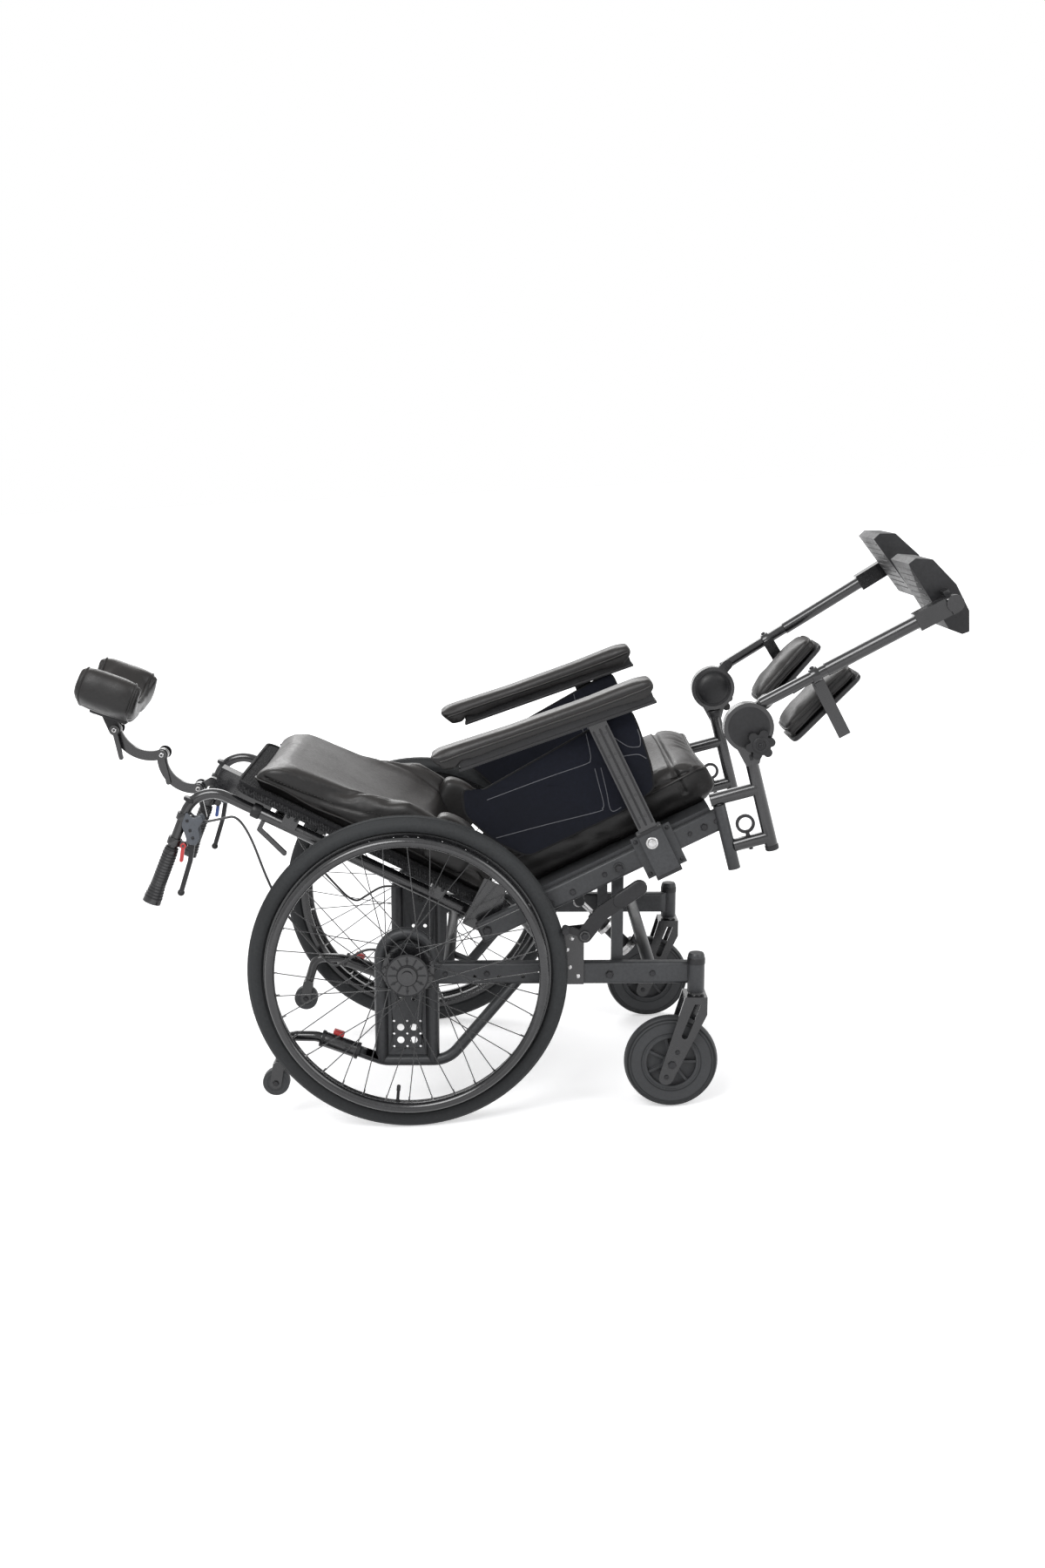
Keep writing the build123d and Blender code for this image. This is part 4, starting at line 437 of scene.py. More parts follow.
def on_places(name, places, profile, look, body, sides=12, smooth=38.0):
    """One mesh of like fittings: places are (side frame, hand, along, up, out, way, radius in mm)."""
    points, ways, sizes = [], [], []
    for side, hand, along, up, out, way, radius in places:
        matrix = drawn_in(side, hand)
        points.append(matrix @ Vector((along, up, out)))
        ways += (matrix.to_3x3() @ Vector(way)).normalized()[:]
        sizes.append(radius * 0.001)
    base = new_mesh(name + "_places", points)
    base.attributes.new("facing", "FLOAT_VECTOR", "POINT").data.foreach_set("vector", ways)
    base.attributes.new("size", "FLOAT", "POINT").data.foreach_set("value", sizes)
    mesh = repeated(name, "places", base, template(profile, sides), look)
    finish_mesh(mesh, look, smooth)
    return put_on(name, mesh, body)


def hex_bolts(name, places, body):
    on_places(name, places, HEX_HEAD, "bolt", body, 6, 30.0)


def socket_screws(name, places, body, look="bolt"):
    on_places(name, places, SOCKET_HEAD, look, body)


def stitched(name, path, body, step):
    """Stitches along a path that is already in the row frame."""
    base = new_mesh(name + "_seam", path, edges=[(i, i + 1) for i in range(len(path) - 1)])
    capsule = template(((-1.9, 0.02), (-1.7, 0.35), (-1.0, 0.5), (1.0, 0.5), (1.7, 0.35), (1.9, 0.02)), 6)
    mesh = repeated(name, "stitches", base, capsule, "seam", Step=step,
                    **{"Size factor": STITCH_SIZE})
    finish_mesh(mesh, "seam")
    return put_on(name, mesh, body)


def on_ring(name, side, hand, out, profile, count, radius, look, body, sides=8):
    """Like fittings round an axle, on a circle at a distance from the middle plane."""
    base = new_mesh(name + "_ring", [])
    mesh = repeated(name, "ring", base, template(profile, sides), look, Count=count, Radius=radius,
                    **{"Size factor": 1.0})
    mesh.transform(drawn_in(side, hand) @ Matrix.Translation((0, 0, out)))
    if drawn_in(side, hand).determinant() < 0:
        mesh.flip_normals()
    finish_mesh(mesh, look)
    return put_on(name, mesh, body)


# ---------------------------------------------------------------- finishes
def shader_group(name, inputs, outputs):
    tree = bpy.data.node_groups.new(name, "ShaderNodeTree")
    for label, kind, value in inputs:
        socket = tree.interface.new_socket(name=label, in_out="INPUT", socket_type=kind)
        if value is not None:
            socket.default_value = value
    for label, kind in outputs:
        tree.interface.new_socket(name=label, in_out="OUTPUT", socket_type=kind)
    return tree, tree.nodes.new("NodeGroupInput"), tree.nodes.new("NodeGroupOutput")


def math_node(tree, operation, *values):
    """Output of a Math node on one or two values or sockets."""
    return add_node(tree, "ShaderNodeMath", dict(enumerate(values)), operation=operation).outputs[0]


def mixed_colour(tree, share, first, second, way="MIX"):
    """Colour of a Mix node, whose colour sockets are numbers 6 and 7 in and 2 out."""
    return add_node(tree, "ShaderNodeMix", {0: share, 6: first, 7: second}, data_type="RGBA",
                    blend_type=way).outputs[2]


def blotch_group():
    """Uneven colour: two tones mixed by large patches and fine scuffs."""
    tree, start, end = shader_group("Uneven colour", [
        ("Vector", "NodeSocketVector", None), ("Patch scale", "NodeSocketFloat", 9.0),
        ("Scuff scale", "NodeSocketFloat", 160.0), ("Tone", "NodeSocketColor", None),
        ("Worn tone", "NodeSocketColor", None)],
        [("Color", "NodeSocketColor"), ("Mask", "NodeSocketFloat")])
    patch = add_node(tree, "ShaderNodeTexNoise", {"Vector": start.outputs["Vector"],
                                                  "Scale": start.outputs["Patch scale"], "Detail": 4.0})
    scuff = add_node(tree, "ShaderNodeTexNoise", {"Vector": start.outputs["Vector"],
                                                  "Scale": start.outputs["Scuff scale"], "Detail": 3.0,
                                                  "Roughness": 0.7})
    both = math_node(tree, "MULTIPLY", patch.outputs[0], scuff.outputs[0])
    mask = add_node(tree, "ShaderNodeMapRange", {"Value": both, "From Min": 0.16, "From Max": 0.40})
    mixed = mixed_colour(tree, mask.outputs[0], start.outputs["Tone"], start.outputs["Worn tone"])
    tree.links.new(mixed, end.inputs["Color"])
    tree.links.new(mask.outputs[0], end.inputs["Mask"])
    return tree


def grain_group():
    """Pebbled grain of coated upholstery and textured mouldings."""
    tree, start, end = shader_group("Pebble grain", [
        ("Vector", "NodeSocketVector", None), ("Scale", "NodeSocketFloat", 600.0)],
        [("Height", "NodeSocketFloat")])
    cells = add_node(tree, "ShaderNodeTexVoronoi", {"Vector": start.outputs["Vector"],
                                                    "Scale": start.outputs["Scale"], "Randomness": 0.9})
    share = math_node(tree, "MULTIPLY", start.outputs["Scale"], 0.22)
    swell = add_node(tree, "ShaderNodeTexNoise", {"Vector": start.outputs["Vector"], "Scale": share,
                                                  "Detail": 3.0})
    tree.links.new(math_node(tree, "ADD", cells.outputs["Distance"], swell.outputs[0]),
                   end.inputs["Height"])
    return tree


def weave_group():
    """Plain weave: threads over and under each other in the side plane."""
    tree, start, end = shader_group("Plain weave", [
        ("Vector", "NodeSocketVector", None), ("Threads per metre", "NodeSocketFloat", 1400.0)],
        [("Height", "NodeSocketFloat"), ("Mask", "NodeSocketFloat")])
    split = add_node(tree, "ShaderNodeSeparateXYZ", {0: start.outputs["Vector"]})
    turns = math_node(tree, "MULTIPLY", start.outputs["Threads per metre"], pi)
    sums = []
    for a, b, way in ((0, 2, "ADD"), (0, 2, "SUBTRACT"), (0, 1, "ADD")):
        turned = math_node(tree, "MULTIPLY", math_node(tree, way, split.outputs[a], split.outputs[b]),
                           turns)
        sums.append(math_node(tree, "SINE", turned))
    height = math_node(tree, "ADD", math_node(tree, "MULTIPLY", sums[0], sums[1]), sums[2])
    mask = add_node(tree, "ShaderNodeMapRange", {"Value": height, "From Min": -1.5, "From Max": 1.5})
    tree.links.new(height, end.inputs["Height"])
    tree.links.new(mask.outputs[0], end.inputs["Mask"])
    return tree


def painted_sheen_group():
    """Mask of the faces that look up, with ragged borders, where dust and rubbing show."""
    tree, start, end = shader_group("Upward faces", [
        ("Vector", "NodeSocketVector", None), ("Scale", "NodeSocketFloat", 14.0)],
        [("Mask", "NodeSocketFloat")])
    facing = add_node(tree, "ShaderNodeNewGeometry")
    split = add_node(tree, "ShaderNodeSeparateXYZ", {0: facing.outputs["Normal"]})
    noise_node = add_node(tree, "ShaderNodeTexNoise", {"Vector": start.outputs["Vector"],
                                                       "Scale": start.outputs["Scale"], "Detail": 5.0})
    height = math_node(tree, "ADD", split.outputs[2], math_node(tree, "MULTIPLY", noise_node.outputs[0],
                                                                0.55))
    mask = add_node(tree, "ShaderNodeMapRange", {"Value": height, "From Min": 0.55, "From Max": 1.25})
    tree.links.new(mask.outputs[0], end.inputs["Mask"])
    return tree


GROUPS = {}


def group_node(tree, label, inputs):
    makers = {"Uneven colour": blotch_group, "Pebble grain": grain_group, "Plain weave": weave_group,
              "Upward faces": painted_sheen_group}
    if label not in GROUPS:
        GROUPS[label] = makers[label]()
    return add_node(tree, "ShaderNodeGroup", inputs, node_tree=GROUPS[label])


def finish_material(name, tone, worn, roughness, bump, depth, grain=None, weave=None, top=None,
                    patch=9.0, scuff=160.0, **shader_values):
    """Procedural finish: uneven colour, grain or weave, and a lighter tone on upward faces if given."""
    material = bpy.data.materials.new(name)
    material.use_nodes = True
    tree = material.node_tree
    shader = tree.nodes["Principled BSDF"]
    place = add_node(tree, "ShaderNodeTexCoord").outputs["Object"]
    colour = group_node(tree, "Uneven colour", {"Vector": place, "Patch scale": patch, "Scuff scale": scuff,
                                                "Tone": (*tone, 1.0), "Worn tone": (*worn, 1.0)})
    tint = colour.outputs["Color"]
    # Painted sheen: upward faces take the lighter top tone, which stands in for the lamps' reflection.
    if top:
        upward = group_node(tree, "Upward faces", {"Vector": place, "Scale": 14.0})
        tint = mixed_colour(tree, upward.outputs[0], tint, (*top, 1.0))
    height = None
    if weave:
        threads = group_node(tree, "Plain weave", {"Vector": place, "Threads per metre": weave})
        shade = add_node(tree, "ShaderNodeMapRange", {"Value": threads.outputs["Mask"], "To Min": 0.55})
        tint = mixed_colour(tree, 1.0, tint, shade.outputs[0], "MULTIPLY")
        height = threads.outputs["Height"]
    if grain:
        height = group_node(tree, "Pebble grain", {"Vector": place, "Scale": grain}).outputs[0]
    tree.links.new(tint, shader.inputs["Base Color"])
    low, high = roughness
    rough = add_node(tree, "ShaderNodeMapRange", {"Value": colour.outputs["Mask"], "To Min": low,
                                                  "To Max": high})
    tree.links.new(rough.outputs[0], shader.inputs["Roughness"])
    if height:
        relief = add_node(tree, "ShaderNodeBump", {"Height": height, "Strength": bump, "Distance": depth})
        tree.links.new(relief.outputs[0], shader.inputs["Normal"])
    for key, value in shader_values.items():
        shader.inputs[key.replace("_", " ")].default_value = value
    return material


FINISHES = {}
SLOT_FINISH = {"frame": "coat", "bare_steel": "steel", "rim": "rim", "black_plastic": "black",
               "grey_plastic": "grey", "tyre": "rubber", "cushion": "leather", "panel": "cloth",
               "cable": "cable", "trigger_red": "red", "trigger_blue": "blue"}
FINISH_SLOT = {finish: slot for slot, finish in SLOT_FINISH.items()}
FINISH_SLOT.update(bolt="frame", binding="black_plastic", housing="grey_plastic", seam="cushion",
                   piping="panel")
STEEL, WORN_STEEL = (0.5, 0.5, 0.51), (0.38, 0.37, 0.36)
SHEATH, WORN_SHEATH = (0.012, 0.012, 0.013), (0.03, 0.03, 0.032)
LINING_FLECK = (0.085, 0.085, 0.088)


def scaled(colour, share):
    return tuple(c * share for c in colour)


def make_finishes(c):
    """Every finish: its tone, worn tone, roughness, relief and shader values."""
    for key, name, tone, worn, roughness, bump, depth, values in (
        ("coat", "powder_coat", c.frame_coat, 1.5, (0.34, 0.5), 0.12, 0.0002,
         dict(grain=2600.0, Metallic=0.2, Specular_IOR_Level=0.35)),
        ("steel", "satin_steel", STEEL, WORN_STEEL, (0.22, 0.42), 0.06, 0.0001,
         dict(grain=1800.0, Metallic=1.0)),
        ("rim", "black_anodised", c.rim, 1.9, (0.16, 0.32), 0.05, 0.0001,
         dict(grain=3000.0, Metallic=0.3, Coat_Weight=0.5, Coat_Roughness=0.1)),
        ("bolt", "black_zinc", scaled(c.rim, 1.2), scaled(c.rim, 3.0), (0.25, 0.45), 0.08, 0.0001,
         dict(grain=2200.0, Metallic=0.5)),
        ("black", "black_moulding", c.plastic, 1.8, (0.34, 0.55), 0.22, 0.0003,
         dict(grain=1500.0, Specular_IOR_Level=0.3)),
        ("grey", "grey_moulding", c.grey_plastic, 1.35, (0.4, 0.58), 0.2, 0.0003,
         dict(grain=1300.0, Specular_IOR_Level=0.35)),
        ("rubber", "tyre_rubber", c.tyre, 1.7, (0.5, 0.75), 0.3, 0.0004,
         dict(grain=900.0, patch=6.0, Specular_IOR_Level=0.2)),
        # The upholstery's top tone is a painted sheen: a lighter brown-grey on its upward faces.
        ("leather", "coated_upholstery", c.leather, 1.5, (0.34, 0.5), 0.28, 0.0005,
         dict(grain=620.0, top=c.leather_painted_sheen, patch=5.0, Specular_IOR_Level=0.3)),
        ("seam", "upholstery_thread", c.thread, 1.6, (0.6, 0.8), 0.2, 0.0004, dict(grain=2500.0)),
        ("cloth", "panel_cloth", c.panel, 1.7, (0.75, 0.95), 0.5, 0.0005,
         dict(weave=1250.0, Sheen_Weight=0.04, Specular_IOR_Level=0.1)),
        ("binding", "black_binding", c.plastic, 1.8, (0.6, 0.8), 0.6, 0.0004,
         dict(weave=1700.0, Specular_IOR_Level=0.15)),
        ("piping", "grey_piping", c.piping, 1.5, (0.55, 0.75), 0.3, 0.0003, dict(grain=1600.0)),
        ("felt", "mottled_lining", SHEATH, LINING_FLECK, (0.8, 0.98), 0.9, 0.0009,
         dict(weave=420.0, patch=240.0, scuff=420.0, Specular_IOR_Level=0.1)),
        ("housing", "lever_cover", c.housing, 1.3, (0.35, 0.5), 0.2, 0.0003, dict(grain=1300.0)),
        ("cable", "cable_sheath", SHEATH, WORN_SHEATH, (0.3, 0.45), 0.1, 0.0002, dict(grain=2000.0)),
        ("red", "red_moulding", c.red, 0.7, (0.28, 0.42), 0.1, 0.0002, dict(grain=1400.0)),
        ("blue", "blue_moulding", c.blue, 0.7, (0.28, 0.42), 0.1, 0.0002, dict(grain=1400.0)),
    ):
        worn_tone = worn if isinstance(worn, tuple) else scaled(tone, worn)
        FINISHES[key] = finish_material(name, tone, worn_tone, roughness, bump=bump, depth=depth, **values)


def dress_frame():
    """Every CAD node takes its slot's finish, and the back's lining and the pull pins their own."""
    for part in frame["record"]["subparts"]:
        node = part["node"]
        thing = frame["nodes"][node]
        finish = FINISHES[SLOT_FINISH[part["material_slot"]]]
        for ending, other in (("back_shell", "felt"), ("pull_pin", "bolt")):
            if node.endswith(ending):
                finish = FINISHES[other]
        slots = thing.material_slots
        if not slots:
            thing.data.materials.append(finish)
        for one in slots:
            one.material = finish


def set_all(thing, **values):
    for key, value in values.items():
        setattr(thing, key, value)


def soften_edges(nodes, width):
    """Merged points and a narrow bevel on a CAD node's sharp edges; its own mesh stays as it is."""
    for node in nodes:
        thing = frame["nodes"][node]
        weld = thing.modifiers.new("Merge", "WELD")
        weld.merge_threshold = 2e-5
        bevel = thing.modifiers.new("Edges", "BEVEL")
        set_all(bevel, width=width, segments=2, limit_method="ANGLE", angle_limit=radians(40),
                harden_normals=False, use_clamp_overlap=True)


# ---------------------------------------------------------------- soft goods
def evaluated_mesh(thing, name):
    bpy.context.view_layer.update()
    graph = bpy.context.evaluated_depsgraph_get()
    mesh = bpy.data.meshes.new_from_object(thing.evaluated_get(graph), depsgraph=graph)
    mesh.name = name
    return mesh


FILL_FRAMES = 20
FILL_PRESSURE = 4.0
COVER = dict(quality=4, mass=0.3, tension_stiffness=12.0, compression_stiffness=12.0, shear_stiffness=4.0,
             bending_stiffness=1.0, use_pressure=True, uniform_pressure_force=FILL_PRESSURE)


def reworked(thing, name, kind, **values):
    """Applies one modifier to an object."""
    set_all(thing.modifiers.new(kind.title(), kind), **values)
    thing.data = evaluated_mesh(thing, name)
    thing.modifiers.clear()


def stuffed(name, mesh, voxel, shrink, cap):
    """Remeshed and blown up as cloth under pressure; no point moves further than the cap."""
    thing = new_object(name + "_fill", mesh)
    reworked(thing, name, "REMESH", mode="VOXEL", voxel_size=voxel)
    reworked(thing, name, "SMOOTH", factor=0.5, iterations=16)
    rest = []
    for vert in thing.data.vertices:
        vert.co -= vert.normal * shrink
        rest.append(vert.co.copy())
    cloth = thing.modifiers.new("Fill", "CLOTH")
    set_all(cloth.settings, **COVER)
    cloth.settings.effector_weights.gravity = 0.0
    cloth.collision_settings.use_collision = False
    set_all(cloth.point_cache, frame_start=1, frame_end=FILL_FRAMES)
    for number in range(1, FILL_FRAMES + 1):
        bpy.context.scene.frame_set(number)
    blown = evaluated_mesh(thing, name)
    bpy.context.scene.frame_set(1)
    thing.modifiers.clear()
    thing.data = blown
    for vert, home in zip(blown.vertices, rest):
        move = vert.co - home
        if move.length > cap:
            vert.co = home + move * (cap / move.length)
    reworked(thing, name, "SMOOTH", factor=0.5, iterations=12)
    reworked(thing, name, "SUBSURF", levels=1, render_levels=1)
    result = thing.data
    bpy.data.objects.remove(thing)
    return result


def reshape(mesh, side, hand, change):
    """Moves each point by change(along, up, out) along its normal, in millimetres."""
    back = drawn_in(side, hand).inverted()
    normals = [vert.normal.copy() for vert in mesh.vertices]
    for vert, normal in zip(mesh.vertices, normals):
        move = change(*(back @ vert.co))
        if move:
            vert.co += normal * move * 0.001
    mesh.update()


def hold_within(mesh, side, hand, limit):
    """Keeps points inside limit(along, up, out), which gives the corrected place."""
    matrix = drawn_in(side, hand)
    back = matrix.inverted()
    for vert in mesh.vertices:
        local = back @ vert.co
        fixed = limit(*local)
        if fixed:
            vert.co = matrix @ Vector(fixed)
    mesh.update()


def groove(distance, depth, width):
    return -depth * exp(-(distance / width) ** 2)


def crease(p, scale, stretch, seed):
    """Soft ridged noise, drawn out along one direction."""
    q = Vector((p[0] * scale * stretch[0], p[1] * scale * stretch[1], p[2] * scale * stretch[2] + seed))
    return 1.0 - abs(noise.noise(q)) * 2.0


def on_surface(mesh, places, lift=0.0):
    """Places moved to the nearest point of a mesh, then lifted off it, in metres."""
    tree = BVHTree.FromPolygons([v.co for v in mesh.vertices], [tuple(p.vertices) for p in mesh.polygons])
    found = []
    for place in places:
        near, normal, _, _ = tree.find_nearest(place)
        found.append(near + normal * lift)
    return found


def line_form(path, radius, sides=8, closed=False):
    form = row_form()
    form.tube(path, radius, sides, closed)
    return form


def seam_line(name, mesh, places, body, radius, closed, lift):
    """A welt laid on a cushion along a few places."""
    path = on_surface(mesh, smooth_path(places, 6, closed), lift)
    path = [(path[i - 1] + p * 2 + path[(i + 1) % len(path)]) / 4 if closed or 0 < i < len(path) - 1 else p
            for i, p in enumerate(path)]
    return piece(name, line_form(path, radius, 8, closed), "leather", body)


def cushion_piece(name, mesh, body, node):
    finish_mesh(mesh, "leather", 60.0)
    thing = put_on(name, mesh, body)
    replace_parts(thing, node)
    return thing


SEAM_LIFT = 0.0008
WELT_LIFT = 0.0006
SEAT_SEAMS = (92.0, 176.0)
SEAT_SIDE_SEAM = 97.0
SEAT_PAN_TOP = 28.4
BACK_SHELL_FACE = 42.5
BACK_TAIL = 54.0


def seat_cushion(sizes):
    """Boxed seat cushion with a rolled front, two seams across it and a welt round its top."""
    mesh = stuffed("seat_cushion_cover", islands("seat_cushion")[0], sizes.coarse_voxel, 0.006, 0.013)

    def shape(along, up, out):
        move = 0.0
        if up > 60.0:
            for seam in SEAT_SEAMS:
                move += groove(along - seam, 5.0, 4.5)
            move += 1.1 * crease((along, out, 0.0), 0.012, (1.0, 0.35, 1.0), 3.0) * min(1.0,
                                                                                        (up - 60.0) / 50.0)
        if abs(out) > 222.0 or along > 225.0:
            move += groove(up - SEAT_SIDE_SEAM, 3.2, 3.5)
        if abs(out) > 205.0:
            move += 0.8 * crease((along, up, out), 0.02, (0.5, 1.0, 0.2), 9.0)
        return move
    reshape(mesh, SEAT, -1.0, shape)
    hold_within(mesh, SEAT, -1.0, lambda a, u, o: (a, SEAT_PAN_TOP, o) if u < SEAT_PAN_TOP else None)
    cushion_piece("seat_cushion_cover", mesh, "seat", "seat_cushion")
    at = drawn_in(SEAT)
    welt = [(-205, 97, -232), (-205, 97, 232), (60, 98, 243), (190, 97, 240), (240, 92, 214),
            (252, 90, 120),
            (254, 90, 0), (252, 90, -120), (240, 92, -214), (190, 97, -240), (60, 98, -243)]
    seam_line("seat_cushion_welt", mesh, [at @ Vector(p) for p in welt], "seat", sizes.piping, True,
              WELT_LIFT)
    for number, along in enumerate(SEAT_SEAMS):
        across = [at @ Vector((along - 3.0, 130.0, out)) for out in range(-225, 226, 25)]
        path = on_surface(mesh, smooth_path(across, 4), SEAM_LIFT)
        stitched("seat_seam_stitches_%d" % (number + 1), path, "seat", sizes.stitch_step)


def back_cushion(sizes):
    """Contoured back cushion: side wings, a hollow between them and creases where the sitter bends."""
    mesh = stuffed("back_cushion_cover", islands("back_cushion")[0], sizes.coarse_voxel, 0.006, 0.014)

    def shape(along, up, out):
        place = -along
        move = 0.0
        if up > 55.0:
            fold = 0.5 + 1.3 * exp(-((place - 170.0) / 90.0) ** 2)
            bend = crease((place, out, up), 0.014, (1.0, 0.7, 0.3), 17.0)
            move += fold * bend * min(1.0, (up - 55.0) / 30.0)
            line = 150.0 + 0.16 * place
            move += groove(abs(out) - line, 3.2, 5.0) * (1.0 if place > 60 else 0.0)
        if abs(out) > 214.0 and up > 50.0:
            sweep_line = 66.0 + 34.0 * exp(-((place - 235.0) / 120.0) ** 2)
            move += groove(up - sweep_line, 2.6, 4.0)
            move += 1.3 * crease((place, up, out), 0.018, (0.6, 1.0, 0.2), 31.0)
        return move
    reshape(mesh, BACK, -1.0, shape)

    def tail(along, up, out):
        share = min(1.0, max(0.0, (along + 100.0) / 62.0))
        return along + BACK_TAIL * share * share, max(up, BACK_SHELL_FACE), out
    hold_within(mesh, BACK, -1.0, tail)
    cushion_piece("back_cushion_cover", mesh, "back", "back_cushion")
    at = drawn_in(BACK)
    for hand, sign in HANDS.items():
        low = [(-50, 50, 234), (-160, 50, 238), (-300, 50, 238), (-440, 50, 237), (-520, 50, 232),
               (-548, 50, 200)]
        seam_line(hand + "_back_cushion_welt", mesh, [at @ Vector((a, u, -sign * o)) for a, u, o in low],
                  "back", sizes.piping, False, WELT_LIFT)
        swept = [(-70, 66, 232), (-150, 86, 236), (-235, 101, 238), (-330, 84, 238), (-430, 68, 237),
                 (-520, 60, 232)]
        path = on_surface(mesh, smooth_path([at @ Vector((a, u, -sign * o)) for a, u, o in swept], 8),
                          WELT_LIFT)
        stitched(hand + "_back_seam_stitches", path, "back", sizes.stitch_step)
    bolster = rounded([(-180.0, 56.0), (-84.0, 56.0), (-74.0, 100.0), (-84.0, 142.0), (-112.0, 158.0),
                       (-150.0, 161.0),
                       (-180.0, 154.0)], 16.0, 5)
    for hand, sign in HANDS.items():
        name = hand + "_back_bolster"
        form = Form(BACK, sign)
        form.slab(bolster, 168.0, 234.0, 15.0)
        mesh = stuffed(name, new_mesh(name, form.points, form.faces), sizes.fine_voxel, 0.002, 0.006)
        side = cushion_piece(name, mesh, "back", "back_cushion")
        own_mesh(side)
    edge = rectangle((-553.0, -237.0), (-36.0, 237.0), 30.0, 6)
    ring = [at @ Vector((a, 42.0, o)) for a, o in edge]
    piece("back_shell_edging", line_form(ring, 0.0032, 10, True), "binding", "back")


def headrest_pad(sizes):
    """Head cushion with wings, seams round both ends and its hinge bracket."""
    pad, bracket = islands("headrest_pad")
    mesh = stuffed("headrest_cover", pad, sizes.fine_voxel, 0.003, 0.008)
    rear_seam, front_seam = -79.0, 27.0

    def shape(along, up, out):
        move = groove(along - rear_seam, 1.8, 2.6) + groove(along - front_seam, 1.8, 2.6)
        if up < 45.0:
            move += groove(abs(out) - 70.0, 1.4, 3.0)
        return move + 0.5 * crease((along, up, out), 0.02, (1.0, 1.0, 1.0), 5.0)
    reshape(mesh, HEAD, -1.0, shape)
    cushion_piece("headrest_cover", mesh, "headrest_pad", "headrest_pad")
    finish_mesh(bracket, "black")
    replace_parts(put_on("headrest_bracket", bracket, "headrest_pad"), "headrest_pad")
    at = drawn_in(HEAD)
    for number, along in enumerate((rear_seam, front_seam)):
        ring = [(108, 66), (106, 96), (88, 122), (66, 112), (36, 82), (0, 72), (-36, 82), (-66, 112),
                (-88, 122),
                (-106, 96), (-108, 66), (-92, 42), (-50, 28), (0, 24), (50, 28), (92, 42)]
        seam_line("headrest_welt_%d" % (number + 1), mesh, [at @ Vector((along, u, o)) for o, u in ring],
                  "headrest_pad", sizes.piping * 0.9, True, 0.0005)
    plate = Form(HEAD, -1.0)
    plate.slab(rectangle((-58.0, 19.5), (20.0, 27.5), 3.0), -30.0, 30.0, 1.2)
    piece("headrest_base_plate", plate, "black", "headrest_pad")
    screws = [(HEAD, -1.0, a, 19.6, o, UNDER, 3.6) for a in (-50.0, 12.0) for o in (-22.0, 22.0)]
    socket_screws("headrest_screws", screws, "headrest_pad", "steel")


ARM_OUT = 301.0


def armrest_pads(sizes):
    """Arm pads: a soft skin over each, a welt along its sides, the rail beneath and its screws."""
    for hand, sign in HANDS.items():
        node, body = hand + "_armrest_pad", hand + "_armrest"
        pad, rail = islands(node)
        mesh = stuffed(hand + "_armrest_cover", pad, sizes.fine_voxel, 0.002, 0.0045)
        reshape(mesh, ARM, sign, lambda a, u, o: 0.15 * crease((a, o, u), 0.014, (0.5, 1.0, 1.0), 2.0)
                + (groove(u - 30.0, 1.0, 2.2) if abs(o - ARM_OUT) > 34.0 else 0.0))

        def skirt(along, up, out):
            side = min(1.0, max(0.0, (abs(out - ARM_OUT) - 25.0) / 9.0))
            low = min(1.0, max(0.0, (36.0 - up) / 16.0))
            front = min(1.0, max(0.0, (118.0 - along) / 20.0)) * min(1.0, max(0.0, (along + 262.0) / 24.0))
            return (along, up - 13.0 * side * low * front, out) if side * low * front else None
        hold_within(mesh, ARM, sign, skirt)
        cushion_piece(hand + "_armrest_cover", mesh, body, node)
        finish_mesh(rail, "black")
        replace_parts(put_on(hand + "_armrest_rail", rail, body), node)
        at = drawn_in(ARM, sign)
        for label, out in (("outer", 342.0), ("inner", 260.0)):
            line = [(-300, 30, out), (-200, 29, out), (-60, 27, out), (60, 28, out), (118, 31, out)]
            seam_line("%s_armrest_%s_welt" % (hand, label), mesh, [at @ Vector(p) for p in line], body,
                      sizes.piping * 0.8, False, 0.0004)
        lip = Form(ARM, sign)
        lip.slab(rectangle((-272.0, -3.5), (119.0, 2.0), 1.5), 276.0, 326.0, 1.2)
        piece(hand + "_armrest_rail_flange", lip, "black", body)
        screws = [(ARM, sign, a, 0.2, ARM_OUT, UNDER, 3.6) for a in (-240.0, -170.0, -100.0, 104.0)]
        socket_screws(hand + "_armrest_screws", screws, body)


PANEL_OUT = 288.0
PANEL_SEAMS = (
    ((56, 262), (48, 228), (42, 213), (30, 209), (-38, 217), (-110, 224), (-168, 229)),
    ((42, 194), (35, 160), (28, 126), (22, 118), (10, 116), (-89, 137), (-185, 155)),
    ((53, 190), (44, 148), (35, 107), (55, 104)),
    ((98, 235), (115, 206), (130, 196), (138, 196), (144, 208), (147, 226)),
    ((97, 192), (114, 187), (128, 181), (138, 168)),
)


